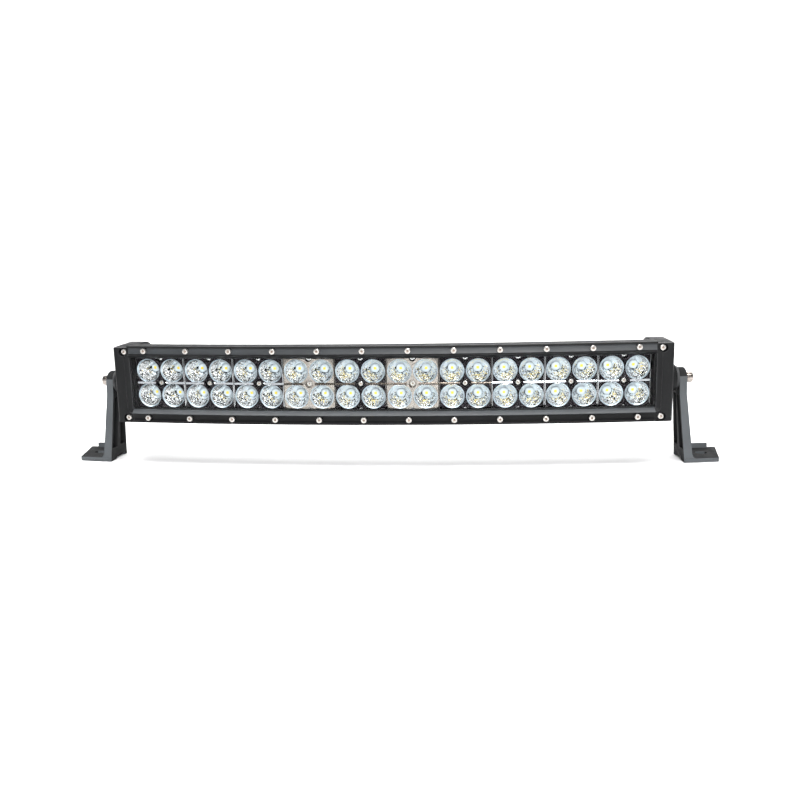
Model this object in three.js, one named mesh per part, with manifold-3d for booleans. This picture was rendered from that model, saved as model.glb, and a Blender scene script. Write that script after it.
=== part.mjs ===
// Curved double-row LED light bar on two swivelling brackets.
//
// Millimetres, +Z up. The bar lies along X, bows towards -Y and shines that way. The origin is on the
// mounting surface, under the middle of the bar's overall box.
//
// The bar's long pieces share one curved coordinate system: s runs along the bar's front surface,
// d goes back into the bar from that surface, and h is the height above the bar's middle plane.

import * as THREE from "three";
import { mergeVertices } from "three/addons/utils/BufferGeometryUtils.js";
import Module from "manifold-3d";

const wasm = await Module();
wasm.setup();

// ---------------------------------------------------------------- driving dimensions

const GAP = 0.3; // clearance kept between faces that touch
const OVER = 1; // how far a cut runs on past the face it opens

// The bar's curve and its place
const BOW_RADIUS = 2383; // of the front surface, centred behind the bar
const BOW_STEPS = 12; // straight facets along the bar
const DRIVER_STEPS = 4; // and along the short driver
const BAR_HEIGHT = 83; // middle plane above the mounting surface
const FRONT_Y = -40.71; // foremost point of the front surface, so that the overall box is centred

// Lengths along s
const MODULE_PITCH = 50.6; // reflector modules, two columns of lights each
const MODULE_COUNT = 10;
const BODY_END = 256; // housing, strips
const FRAME_START = BODY_END + GAP; // end frames
const CAP_START = BODY_END + 1.4; // end caps, behind a gasket
const END_FACE = 273.4; // outer side of the end caps

// Depths along d
const STRIP_FACE = 3.4;
const STRIP_RIDGE = 0.6;
const STRIP_BACK = 7;
const FLANGE_FRONT = STRIP_BACK + GAP;
const LENS_THICKNESS = 2;
const LENS_FRONT = FLANGE_FRONT;
const LENS_SEAT = 11.3; // the ledge under the lens gasket, and the reflectors' front face
const FLANGE_BACK = 16;
const FLANGE_HOLE_BACK = 18; // bottom of the row of holes for the strips' screws
const FLANGE_ROOT = 22; // where the flange's sloping back meets the body
const BOARD_SEAT = 31.4;
const BOARD_THICKNESS = 1.6;
const SPREADER_BACK = 35.4; // behind this wall is the driver's chamber
const CHAMBER_BACK = 48.4;
const BODY_BACK = 51.4; // rear wall that the long fins stand on
const BODY_CHAMFER = 4;
const FIN_TIPS = 68;
const FIN_SAG = 0.014; // the tips lie on a curve, shorter by this times the height squared

// Heights from the middle plane
const FLANGE_HALF = 38.3;
const FLANGE_BACK_HALF = 36.3;
const STRIP_CHANNEL_TOP = 36.4;
const STRIP_CHANNEL_LOW = 30.2;
const STRIP_LIP = 29.4;
const WINDOW_HALF = 25.8;
const LENS_HALF = 28.5;
const LENS_RECESS_HALF = 28.8;
const TROUGH_HALF = 25.4;
const BODY_HALF = 30;
const CHAMBER_HALF = 20;
const RIB_HEIGHT = 2.4;
const RIB_WIDTH = 2;
const RIB_PITCH = 6;
const FIN_ROWS = 4; // each side of the middle fin
const FIN_PITCH = 6;
const FIN_THICKNESS = 2;

// Strip and frame screws, M3 socket heads
const SCREW_ROW = 33.5;
const SCREW_PITCH = 43.33;
const SCREWS_PER_STRIP = 12;
const SCREW_HEAD_R = 2.75;
const SCREW_HEAD_H = 3;
const SCREW_SHANK_R = 1.5;
const SCREW_SHANK_L = 11;
const SCREW_HOLE_R = SCREW_SHANK_R + GAP;
const CORNER_SCREW_S = 262.6;
const CORNER_SCREW_ROW = 33.2;
const CORNER_SCREW_FRONT = 6.4;
const CORNER_POCKET_R = 3.6;

// Reflector modules, two by two cups
const CUP_PITCH = 24.8;
const MODULE_SIZE = 49.7; // narrower than the pitch, because the bow closes up towards the back
const MODULE_HALF = 25;
const CUP_MOUTH_R = 11.7;
const CUP_FLOOR_R = 4.2;
const EMITTER_R = 3.2;
const EMITTER_HEIGHT = 1;
const BOARD_INSET = 6; // the boards stop this short of the housing's ends

// Driver circuit, in the chamber
const DRIVER_HALF_LENGTH = 60;
const DRIVER_HALF_HEIGHT = 16;
const DRIVER_RIM = 3; // of its board, round the potted block
const DRIVER_BACK = 46.9;
const DRIVER_FRONT = 37.4;

// End castings
const END_DROP = 1.6; // they, and the bolts, are centred this much below the bar's middle plane
const END_HALF = 37.7;
const FRAME_FRONT = 4.5;
const FRAME_BACK = 11;
const FRAME_CORNER = 4.5; // rounding of the outer front edge
const WINDOW_LIP_X = 5.5; // from the frame's inner side to the top of the window's sloping side
const WINDOW_LIP_DEPTH = 5.5; // the slope starts below a small step
const WINDOW_FOOT_X = 0.2;
const CAP_BACK = 66;
const CAP_CORNER_R = 18;
const CAP_TOP_R = 22;
const CAP_WALL = 4.5;
const CAP_CAVITY_FRONT = 21.8;
const CAVITY_MARGIN = 2; // the cap's cavity is taller than the housing's chamber
const GASKET_INSET = 1.5;
const LENS_END = BODY_END + 4.5; // the lens runs on under the end frames
const LENS_GASKET_WIDTH = 2.5; // across the ends
const BOSS_R = 13.75;
const BOSS_HEIGHT = 6.8;
const BOSS_CORE_R = 9;

// Brackets and pivots, M6 socket-head bolts
const PIVOT_DEPTH = 28; // bolt axis along d
const WASHER_R = 11.5;
const WASHER_THICKNESS = 2.4;
const BOLT_R = 3;
const BOLT_HOLE_R = BOLT_R + GAP;
const LOCK_WASHER_R = 4.5; // under the bolt's head, drawn as one with it
const LOCK_WASHER_H = 1.5;
const BOLT_HEAD_R = 5;
const BOLT_HEAD_H = 6;
const BOLT_SOCKET_R = 2.9;
const BOLT_SOCKET_DEPTH = 3.2;
const BOLT_REACH = 9; // into the end cap
const UPRIGHT_TOP_R = 10.2;
const UPRIGHT_FRONT = 11; // d of the upright's lower front corner
const UPRIGHT_REAR = 44.5;
const UPRIGHT_THICKNESS = 7.2; // at the bolt
const UPRIGHT_THICKENING = 0.9; // more, at the foot
const UPRIGHT_KNEE = -14; // below this height from the bolt it leans outwards
const UPRIGHT_LEAN = 5.4; // how much further out the upright is at its foot
const UPRIGHT_WALL = 3;
const RECESS_DEPTH = 4.5;
const RECESS_TOP = -16;
const RECESS_FLOOR = 13; // above the mounting surface
const RECESS_RIB = 6;
const FOOT_LENGTH = 34.4;
const FOOT_THICKNESS = 4;
const FOOT_FRONT_SKEW = 1;
const FOOT_DEPTH = 42;
const FOOT_CORNER = 1; // chamfer
const FOOT_FLARE = 10;
const FOOT_FILLET = 4;
const FOOT_RIB_LENGTH = 27; // past the upright's outer face
const FOOT_RIB_HEIGHT = 4.5;
const FOOT_RIB_THICKNESS = 3.5;
const ARCH_HEIGHT = 3; // under the upright's inner skirt
const ARCH_FRONT = 9; // from the upright's front
const ARCH_SLOPE = 4;
const ARCH_DEPTH = 3.5;
const SLOT_R = 4.4; // for an M8 bolt
const SLOT_LENGTH = 12;

// Rear fittings
const FITTING_S = 107.5; // cable gland on one side of the middle, breather on the other
const FITTING_CLEARANCE_R = 11; // the fins stop short of them
const FITTING_SEAT = BODY_BACK - 0.2;
const PORT_R = 5;
const GLAND_NUT_R = 9;
const GLAND_BORE_R = 3.4;
const GLAND_END = 67;
const BREATHER_R = 7;
const BREATHER_END = 57;

// Facets of round pieces
const SMALL_ROUND = 8;
const ROUND = 12;
const FINE_ROUND = 24;

// ---------------------------------------------------------------- materials

const paint = (color, roughness, metalness) =>
  new THREE.MeshStandardMaterial({ color, roughness, metalness });
const BLACK_COAT = paint(0x17181a, 0.5, 0.3);
const BRACKET_COAT = paint(0x2b2d30, 0.7, 0.2);
const BLACK_RUBBER = paint(0x0c0c0d, 0.9, 0);
const STAINLESS = paint(0xb9b7b2, 0.25, 1);
const CHROME_COAT = paint(0xe4e6e8, 0.08, 1);
const CLEAR_LENS = new THREE.MeshStandardMaterial({
  color: 0xf2f6f8,
  roughness: 0.05,
  metalness: 0,
  transparent: true,
  opacity: 0.2,
});
const BOARD_WHITE = paint(0xe9e9e2, 0.5, 0);
const DRIVER_GREEN = paint(0x1d5a35, 0.5, 0);
const BLACK_NYLON = paint(0x101112, 0.6, 0);

// ---------------------------------------------------------------- solids

// A closed geometry as a manifold-3d solid, for cutting and joining.
function solid(geometry) {
  const bare = geometry.clone();
  bare.deleteAttribute("normal");
  bare.deleteAttribute("uv");
  const merged = mergeVertices(bare, 1e-4);
  const vertProperties = new Float32Array(merged.attributes.position.array);
  const triVerts = new Uint32Array(merged.index.array);
  return new wasm.Manifold(new wasm.Mesh({ numProp: 3, vertProperties, triVerts }));
}

// The geometry of a manifold-3d solid.
function geometryOf(body) {
  const { vertProperties, triVerts } = body.getMesh();
  const geometry = new THREE.BufferGeometry();
  geometry.setAttribute("position", new THREE.BufferAttribute(vertProperties, 3));
  geometry.setIndex(new THREE.BufferAttribute(triVerts, 1));
  geometry.computeVertexNormals();
  return geometry;
}

const AXIS_X = new THREE.Vector3(1, 0, 0);
const AXIS_Y = new THREE.Vector3(0, 1, 0);
const AXIS_Z = new THREE.Vector3(0, 0, 1);
const CYCLE = new THREE.Matrix4().makeBasis(AXIS_Y, AXIS_Z, AXIS_X);
const CYCLE_TWICE = new THREE.Matrix4().makeBasis(AXIS_Z, AXIS_X, AXIS_Y);
const outline = (points) => new THREE.Shape(points.map(([x, y]) => new THREE.Vector2(x, y)));
const mirrored = (points) => [...points, ...points.map(([x, y]) => [x, -y]).reverse()];

// A prism of a shape, from one place to another along +z.
function prism(points, from, to) {
  const geometry = new THREE.ExtrudeGeometry(outline(points), { depth: to - from, bevelEnabled: false });
  geometry.translate(0, 0, from);
  return geometry;
}

// A prism of an outline in (y, z), along x.
const prismAlongX = (points, from, to) => prism(points, from, to).applyMatrix4(CYCLE);

// A prism of an outline in (x, z), along y.
const prismAlongY = (points, from, to) =>
  prism(points.map(([x, z]) => [z, x]), from, to).applyMatrix4(CYCLE_TWICE);

// A turned body about the y axis, from [radius, y] pairs.
function turned(profile, sides = ROUND) {
  return new THREE.LatheGeometry(profile.map(([r, y]) => new THREE.Vector2(r, y)), sides);
}

const cylinderProfile = (radius, from, to) => [[0, from], [radius, from], [radius, to], [0, to]];

// Round bars along y and along x, through the given place on the other two axes.
function rodAlongY(radius, from, to, [x, z], sides = ROUND) {
  return turned(cylinderProfile(radius, from, to), sides).translate(x, 0, z);
}

function rodAlongX(radius, from, to, [y, z], sides = ROUND) {
  return turned(cylinderProfile(radius, from, to), sides).rotateZ(-Math.PI / 2).translate(0, y, z);
}

const arc = (cx, cy, r, fromDeg, toDeg, steps) =>
  Array.from({ length: steps + 1 }, (_, i) => {
    const a = THREE.MathUtils.degToRad(fromDeg + ((toDeg - fromDeg) * i) / steps);
    return [cx + r * Math.cos(a), cy + r * Math.sin(a)];
  });

function block(x0, x1, y0, y1, z0, z1) {
  const geometry = new THREE.BoxGeometry(x1 - x0, y1 - y0, z1 - z0);
  geometry.translate((x0 + x1) / 2, (y0 + y1) / 2, (z0 + z1) / 2);
  return geometry;
}

function named(name, geometry, material) {
  const mesh = new THREE.Mesh(geometry, material);
  mesh.name = name;
  return mesh;
}

// ---------------------------------------------------------------- the bar's curve

// Bends a geometry drawn in (d, h, s) round the bar's curve.
function bend(geometry) {
  const p = geometry.attributes.position;
  for (let i = 0; i < p.count; i++) {
    const angle = p.getZ(i) / BOW_RADIUS;
    const radius = BOW_RADIUS - p.getX(i);
    p.setXYZ(i, radius * Math.sin(angle), BOW_RADIUS - radius * Math.cos(angle), p.getY(i));
  }
  geometry.computeVertexNormals();
  return geometry;
}

// A long piece of constant section (d, h), from s0 to s1.
function sweep(points, s0, s1, holes = [], steps = BOW_STEPS) {
  const shape = outline(points);
  shape.holes = holes.map(outline);
  const straight = new THREE.ExtrudeGeometry(shape, { depth: s1 - s0, steps, bevelEnabled: false });
  straight.translate(0, 0, s0);
  return bend(straight);
}

// A group whose x runs along the bar, y back into it and z up, at distance s along the front surface.
function station(s) {
  const angle = s / BOW_RADIUS;
  const group = new THREE.Group();
  group.position.set(BOW_RADIUS * Math.sin(angle), BOW_RADIUS * (1 - Math.cos(angle)), 0);
  group.rotation.z = angle;
  return group;
}

// ---------------------------------------------------------------- long pieces

// Half of the housing's finned section, from the board seat round the outside to the rearmost fin.
function housingHalf() {
  const points = [
    [BOARD_SEAT, TROUGH_HALF],
    [LENS_SEAT, TROUGH_HALF],
    [LENS_SEAT, LENS_RECESS_HALF],
    [FLANGE_FRONT, LENS_RECESS_HALF],
    [FLANGE_FRONT, SCREW_ROW - SCREW_HOLE_R],
    [FLANGE_HOLE_BACK, SCREW_ROW - SCREW_HOLE_R],
    [FLANGE_HOLE_BACK, SCREW_ROW + SCREW_HOLE_R],
    [FLANGE_FRONT, SCREW_ROW + SCREW_HOLE_R],
    [FLANGE_FRONT, FLANGE_HALF],
    [FLANGE_BACK, FLANGE_HALF],
    [FLANGE_ROOT - 2, FLANGE_BACK_HALF],
    [FLANGE_ROOT, BODY_HALF],
  ];
  const ribTop = BODY_HALF + RIB_HEIGHT;
  for (let d = FLANGE_ROOT + RIB_PITCH; d < BODY_BACK - RIB_PITCH; d += RIB_PITCH)
    points.push([d, BODY_HALF], [d, ribTop], [d + RIB_WIDTH, ribTop], [d + RIB_WIDTH, BODY_HALF]);
  points.push([BODY_BACK - BODY_CHAMFER, BODY_HALF], [BODY_BACK, BODY_HALF - BODY_CHAMFER]);
  for (let h = FIN_ROWS * FIN_PITCH; h > 0; h -= FIN_PITCH) {
    const tip = FIN_TIPS - FIN_SAG * h * h;
    const half = FIN_THICKNESS / 2;
    points.push([BODY_BACK, h + half], [tip, h + half], [tip, h - half], [BODY_BACK, h - half]);
  }
  points.push([BODY_BACK, FIN_THICKNESS / 2], [FIN_TIPS, FIN_THICKNESS / 2]);
  return points;
}

function makeHousing() {
  const chamber = [
    [SPREADER_BACK, -CHAMBER_HALF],
    [CHAMBER_BACK, -CHAMBER_HALF],
    [CHAMBER_BACK, CHAMBER_HALF],
    [SPREADER_BACK, CHAMBER_HALF],
  ];
  let bar = solid(sweep(mirrored(housingHalf()), -BODY_END, BODY_END, [chamber]));
  for (const side of [-1, 1]) {
    const place = station(side * FITTING_S);
    place.updateMatrix();
    const cuts = [
      rodAlongY(FITTING_CLEARANCE_R, FITTING_SEAT, FIN_TIPS + OVER, [0, 0], FINE_ROUND),
      rodAlongY(PORT_R, CHAMBER_BACK - OVER, BODY_BACK + OVER, [0, 0]),
    ];
    for (const cut of cuts) bar = bar.subtract(solid(cut.applyMatrix4(place.matrix)));
  }
  return geometryOf(bar);
}

// The rail that clamps one long edge of the lens; h runs outwards from the window.
function makeStrip(side) {
  const section = [
    [STRIP_RIDGE, FLANGE_HALF],
    [STRIP_RIDGE, STRIP_CHANNEL_TOP],
    [STRIP_FACE, STRIP_CHANNEL_TOP],
    [STRIP_FACE, STRIP_CHANNEL_LOW],
    [STRIP_RIDGE, STRIP_LIP],
    [STRIP_BACK - 1, WINDOW_HALF],
    [STRIP_BACK, WINDOW_HALF],
    [STRIP_BACK, FLANGE_HALF],
  ];
  const turnedOver = section.map(([d, h]) => [d, side * h]);
  const points = side > 0 ? turnedOver : turnedOver.reverse();
  let strip = solid(sweep(points, -BODY_END, BODY_END));
  for (const s of screwStations()) {
    const place = station(s);
    place.updateMatrix();
    const hole = rodAlongY(SCREW_HOLE_R, 0, STRIP_BACK + OVER, [0, side * SCREW_ROW], SMALL_ROUND);
    strip = strip.subtract(solid(hole.applyMatrix4(place.matrix)));
  }
  return geometryOf(strip);
}

const screwStations = () =>
  Array.from({ length: SCREWS_PER_STRIP }, (_, i) => (i - (SCREWS_PER_STRIP - 1) / 2) * SCREW_PITCH);

function makeLens() {
  const section = mirrored([
    [LENS_FRONT + LENS_THICKNESS, LENS_HALF],
    [LENS_FRONT, LENS_HALF],
  ]);
  return sweep(section, -LENS_END, LENS_END);
}

// The seal between the lens and the ledge: one closed loop.
function makeLensGasket() {
  const front = LENS_FRONT + LENS_THICKNESS + GAP;
  const back = LENS_SEAT - GAP;
  const section = (half, d0, d1) => [[d1, -half], [d1, half], [d0, half], [d0, -half]];
  const slab = (half, end, d0, d1) => solid(sweep(section(half, d0, d1), -end, end));
  const loop = slab(LENS_HALF, LENS_END, front, back);
  const inner = slab(WINDOW_HALF, LENS_END - LENS_GASKET_WIDTH, front - OVER, back + OVER);
  return geometryOf(loop.subtract(inner));
}

// ---------------------------------------------------------------- reflectors, boards and driver

// One block of two by two cups, seen by the station in its middle.
function makeReflector() {
  const half = MODULE_SIZE / 2;
  const back = BOARD_SEAT - BOARD_THICKNESS - 2 * GAP;
  let module = solid(block(-half, half, LENS_SEAT, back, -MODULE_HALF, MODULE_HALF));
  const slope = (CUP_MOUTH_R - CUP_FLOOR_R) / (back - LENS_SEAT);
  const cup = [
    [0, LENS_SEAT - OVER],
    [CUP_MOUTH_R + slope * OVER, LENS_SEAT - OVER],
    [CUP_FLOOR_R - slope * OVER, back + OVER],
    [0, back + OVER],
  ];
  for (const x of [-CUP_PITCH / 2, CUP_PITCH / 2])
    for (const z of [-CUP_PITCH / 2, CUP_PITCH / 2])
      module = module.subtract(solid(turned(cup).translate(x, 0, z)));
  return geometryOf(module);
}

const moduleStations = () =>
  Array.from({ length: MODULE_COUNT }, (_, i) => (i - (MODULE_COUNT - 1) / 2) * MODULE_PITCH);

// Half the bar's circuit board, with its emitters soldered on.
function makeBoard(side) {
  const front = BOARD_SEAT - GAP - BOARD_THICKNESS;
  const back = BOARD_SEAT - GAP;
  const end = BODY_END - BOARD_INSET;
  const [s0, s1] = side > 0 ? [GAP, end] : [-end, -GAP];
  const boardMiddle = (front + back) / 2;
  const section = [[back, -MODULE_HALF], [back, MODULE_HALF], [front, MODULE_HALF], [front, -MODULE_HALF]];
  let board = solid(sweep(section, s0, s1, [], BOW_STEPS / 2));
  for (const s of moduleStations().filter((m) => m * side > 0)) {
    const place = station(s);
    place.updateMatrix();
    for (const x of [-CUP_PITCH / 2, CUP_PITCH / 2])
      for (const z of [-CUP_PITCH / 2, CUP_PITCH / 2]) {
        const emitter = rodAlongY(EMITTER_R, front - EMITTER_HEIGHT, boardMiddle, [x, z], SMALL_ROUND);
        board = board.add(solid(emitter.applyMatrix4(place.matrix)));
      }
  }
  return geometryOf(board);
}

// The driver circuit: a potted block on its board, in the chamber behind the heat spreader.
function makeDriver() {
  const half = DRIVER_HALF_HEIGHT;
  const block = half - DRIVER_RIM;
  const boardFront = DRIVER_BACK - BOARD_THICKNESS;
  const section = [
    [DRIVER_BACK, -half],
    [DRIVER_BACK, half],
    [boardFront, half],
    [boardFront, block],
    [DRIVER_FRONT, block],
    [DRIVER_FRONT, -block],
    [boardFront, -block],
    [boardFront, -half],
  ];
  return sweep(section, -DRIVER_HALF_LENGTH, DRIVER_HALF_LENGTH, [], DRIVER_STEPS);
}

// ---------------------------------------------------------------- end pieces
// Drawn at the station of the end face's inner edge: x outwards, y back, z up.

const END_WIDTH = END_FACE - FRAME_START;
const CAP_WIDTH = END_FACE - CAP_START;

// The frame that clamps the lens's end, with the window's sloping side.
function makeEndFrame() {
  const plan = [
    [0, FRAME_FRONT],
    [END_WIDTH - FRAME_CORNER, FRAME_FRONT],
    [END_WIDTH - FRAME_CORNER / 4, FRAME_FRONT + FRAME_CORNER / 3],
    [END_WIDTH, FRAME_FRONT + FRAME_CORNER],
    [END_WIDTH, FRAME_BACK],
    [0, FRAME_BACK],
  ];
  let frame = solid(prism(plan, -END_HALF, END_HALF));
  const windowSide = [
    [-OVER, FRAME_FRONT - OVER],
    [WINDOW_LIP_X, FRAME_FRONT - OVER],
    [WINDOW_LIP_X, WINDOW_LIP_DEPTH],
    [WINDOW_FOOT_X, STRIP_BACK + GAP],
    [-OVER, STRIP_BACK + GAP],
  ];
  frame = frame.subtract(solid(prism(windowSide, END_DROP - STRIP_LIP, END_DROP + STRIP_LIP)));
  const pocketX = LENS_END - FRAME_START + GAP;
  const pocketLow = END_DROP - LENS_RECESS_HALF;
  const pocketHigh = END_DROP + LENS_RECESS_HALF;
  const pocket = block(-OVER, pocketX, STRIP_BACK, FRAME_BACK + OVER, pocketLow, pocketHigh);
  frame = frame.subtract(solid(pocket));
  const x = CORNER_SCREW_S - FRAME_START;
  const floor = CORNER_SCREW_FRONT + SCREW_HEAD_H + GAP;
  for (const z of [-CORNER_SCREW_ROW, CORNER_SCREW_ROW]) {
    const pocketForHead = rodAlongY(CORNER_POCKET_R, FRAME_FRONT - OVER, floor, [x, z]);
    const hole = rodAlongY(SCREW_HOLE_R, FRAME_FRONT, FRAME_BACK + OVER, [x, z], SMALL_ROUND);
    frame = frame.subtract(solid(pocketForHead)).subtract(solid(hole));
  }
  return geometryOf(frame);
}

// The end casting: a shell that closes the housing, with the boss for the bracket's bolt.
function capSide(inset = 0) {
  const half = END_HALF - inset;
  const back = CAP_BACK - inset;
  const radius = CAP_TOP_R - inset;
  return mirrored([
    ...arc(back - radius, half - radius, radius, 0, 90, 4),
    [LENS_SEAT + inset, half],
  ]);
}

function makeCap() {
  const x0 = CAP_START - FRAME_START;
  const roundX = END_WIDTH - CAP_CORNER_R;
  const roundY = CAP_BACK - CAP_CORNER_R;
  const plan = [
    [x0, LENS_SEAT],
    [END_WIDTH, LENS_SEAT],
    ...arc(roundX, roundY, CAP_CORNER_R, 0, 70, 4),
    [x0, CAP_BACK],
  ];
  const side = capSide();
  let cap = solid(prism(plan, -END_HALF, END_HALF));
  cap = cap.intersect(solid(prismAlongX(side, x0 - OVER, END_WIDTH + OVER)));
  const cavity = [
    [x0 - OVER, CAP_CAVITY_FRONT],
    [END_WIDTH - CAP_WALL, CAP_CAVITY_FRONT],
    ...arc(roundX, roundY, CAP_CORNER_R - CAP_WALL, 0, 60, 3),
    [x0 - OVER, CAP_BACK - CAP_WALL],
  ];
  const cavityHalf = CHAMBER_HALF + CAVITY_MARGIN;
  const core = rodAlongX(BOSS_CORE_R, x0, END_WIDTH, [PIVOT_DEPTH, 0]);
  cap = cap.subtract(solid(prism(cavity, -cavityHalf, cavityHalf)).subtract(solid(core)));
  const bossEnd = END_WIDTH + BOSS_HEIGHT;
  cap = cap.add(solid(rodAlongX(BOSS_R, END_WIDTH - OVER, bossEnd, [PIVOT_DEPTH, 0], FINE_ROUND)));
  const boltEnd = bossEnd - BOLT_REACH - 1;
  cap = cap.subtract(solid(rodAlongX(BOLT_HOLE_R, boltEnd, bossEnd + OVER, [PIVOT_DEPTH, 0])));
  const screwX = CORNER_SCREW_S - FRAME_START;
  const screwEnd = CORNER_SCREW_FRONT + SCREW_HEAD_H + SCREW_SHANK_L + 1;
  for (const z of [-CORNER_SCREW_ROW, CORNER_SCREW_ROW])
    cap = cap.subtract(solid(rodAlongY(SCREW_HOLE_R, LENS_SEAT - OVER, screwEnd, [screwX, z], SMALL_ROUND)));
  return geometryOf(cap);
}

// The flat seal between the housing's end and the cap.
function makeEndGasket() {
  const x0 = 2 * GAP;
  const x1 = CAP_START - FRAME_START - GAP;
  const ring = solid(prismAlongX(capSide(GASKET_INSET), x0, x1));
  const half = CHAMBER_HALF - END_DROP;
  const inside = block(x0 - OVER, x1 + OVER, CAP_CAVITY_FRONT, CHAMBER_BACK, -half, half);
  return geometryOf(ring.subtract(solid(inside)));
}

// ---------------------------------------------------------------- brackets
// Drawn at the station of the end face: x outwards from the cap's side, y back, z up from the bolt axis.

const BRACKET_X = BOSS_HEIGHT + 2 * GAP + WASHER_THICKNESS;
const GROUND = END_DROP - BAR_HEIGHT;
const PIVOT_RISE = UPRIGHT_KNEE - GROUND;

// The upright seen from the bar's end: a round head that widens down to the foot.
const uprightSide = () => [
  [UPRIGHT_FRONT, GROUND],
  [UPRIGHT_REAR, GROUND],
  ...arc(PIVOT_DEPTH, 0, UPRIGHT_TOP_R, 4, 176, 8),
];

// The upright seen from the front: square to the bolt at its head, then leaning out to a filleted foot.
function uprightFront(toeX, footTop) {
  const outerX = UPRIGHT_LEAN + UPRIGHT_THICKNESS + UPRIGHT_THICKENING;
  return [
    [0, UPRIGHT_KNEE],
    [UPRIGHT_LEAN, GROUND],
    [toeX, GROUND],
    ...arc(toeX, footTop + FOOT_FILLET, FOOT_FILLET, 270, 180, 3),
    [outerX - (UPRIGHT_LEAN * FOOT_FILLET) / PIVOT_RISE, footTop + FOOT_FILLET],
    [UPRIGHT_THICKNESS, UPRIGHT_KNEE],
    [UPRIGHT_THICKNESS, UPRIGHT_TOP_R + OVER],
    [0, UPRIGHT_TOP_R + OVER],
  ];
}

// The pocket in the inner face, as deep all the way down, with a rib left standing down its middle.
function uprightRecess() {
  const floor = GROUND + RECESS_FLOOR;
  const middle = (UPRIGHT_FRONT + UPRIGHT_REAR) / 2;
  const headWidth = UPRIGHT_TOP_R - UPRIGHT_WALL;
  const pocket = [
    [UPRIGHT_FRONT + UPRIGHT_WALL, floor],
    [UPRIGHT_REAR - UPRIGHT_WALL, floor],
    [PIVOT_DEPTH + headWidth, RECESS_TOP],
    [PIVOT_DEPTH - headWidth, RECESS_TOP],
  ];
  const rib = [
    [middle - RECESS_RIB / 2, floor - OVER],
    [middle + RECESS_RIB / 2, floor - OVER],
    [PIVOT_DEPTH + RECESS_RIB / 4, RECESS_TOP + OVER],
    [PIVOT_DEPTH - RECESS_RIB / 4, RECESS_TOP + OVER],
  ];
  const footX = UPRIGHT_LEAN + RECESS_DEPTH;
  const leaning = [
    [-OVER, UPRIGHT_KNEE],
    [-OVER, GROUND],
    [footX, GROUND],
    [RECESS_DEPTH, UPRIGHT_KNEE],
  ];
  const pockets = solid(prismAlongX(pocket, -2 * OVER, footX + OVER));
  const ribbed = pockets.subtract(solid(prismAlongX(rib, -3 * OVER, footX + 2 * OVER)));
  return ribbed.intersect(solid(prismAlongY(leaning, 0, UPRIGHT_REAR)));
}

function makeBracket() {
  const toeX = UPRIGHT_LEAN + UPRIGHT_THICKNESS + UPRIGHT_THICKENING + FOOT_FILLET;
  const footTop = GROUND + FOOT_THICKNESS;
  let bracket = solid(prismAlongY(uprightFront(toeX, footTop), 0, UPRIGHT_REAR + OVER));
  bracket = bracket.intersect(solid(prismAlongX(uprightSide(), -OVER, toeX + OVER)));

  // The foot is wider towards its outer rear corner, and has a short rib along its rear edge.
  const inner = UPRIGHT_LEAN + 1;
  const outer = UPRIGHT_LEAN + FOOT_LENGTH;
  const rear = UPRIGHT_FRONT + FOOT_DEPTH;
  const plan = [
    [inner, UPRIGHT_FRONT],
    [outer - FOOT_CORNER, UPRIGHT_FRONT + FOOT_FRONT_SKEW],
    [outer, UPRIGHT_FRONT + FOOT_FRONT_SKEW + FOOT_CORNER],
    [outer + FOOT_FLARE, rear - FOOT_CORNER],
    [outer + FOOT_FLARE - FOOT_CORNER, rear],
    [toeX - FOOT_FILLET - 1, rear],
    [inner, UPRIGHT_REAR],
  ];
  bracket = bracket.add(solid(prism(plan, GROUND, footTop)));
  const ribEnd = toeX - FOOT_FILLET + FOOT_RIB_LENGTH;
  const ribTop = footTop + FOOT_RIB_HEIGHT;
  const rib = block(toeX - FOOT_FILLET, ribEnd, rear - FOOT_RIB_THICKNESS, rear - GAP, GROUND + GAP, ribTop);
  bracket = bracket.add(solid(rib)).subtract(uprightRecess());

  const arch = [
    [UPRIGHT_FRONT + ARCH_FRONT, GROUND - OVER],
    [UPRIGHT_REAR - ARCH_SLOPE, GROUND - OVER],
    [UPRIGHT_REAR - ARCH_SLOPE, GROUND + ARCH_HEIGHT],
    [UPRIGHT_FRONT + ARCH_FRONT + ARCH_SLOPE, GROUND + ARCH_HEIGHT],
  ];
  bracket = bracket.subtract(solid(prismAlongX(arch, -OVER, UPRIGHT_LEAN + ARCH_DEPTH)));
  const boltHole = rodAlongX(BOLT_HOLE_R, -OVER, UPRIGHT_THICKNESS + OVER, [PIVOT_DEPTH, 0]);
  bracket = bracket.subtract(solid(boltHole));
  const slotX = (toeX + outer) / 2;
  const slotY = UPRIGHT_FRONT + FOOT_DEPTH / 2;
  const slotReach = SLOT_LENGTH / 2 - SLOT_R;
  const slot = [
    ...arc(slotX + slotReach, slotY, SLOT_R, -90, 90, 6),
    ...arc(slotX - slotReach, slotY, SLOT_R, 90, 270, 6),
  ];
  bracket = bracket.subtract(solid(prism(slot, GROUND - OVER, footTop + OVER)));
  return geometryOf(bracket.translate([BRACKET_X, 0, 0]));
}

const makeWasher = () => {
  const x0 = BOSS_HEIGHT + GAP;
  const x1 = x0 + WASHER_THICKNESS;
  const disc = solid(rodAlongX(WASHER_R, x0, x1, [PIVOT_DEPTH, 0], FINE_ROUND));
  return geometryOf(disc.subtract(solid(rodAlongX(BOLT_HOLE_R, x0 - OVER, x1 + OVER, [PIVOT_DEPTH, 0]))));
};

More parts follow.
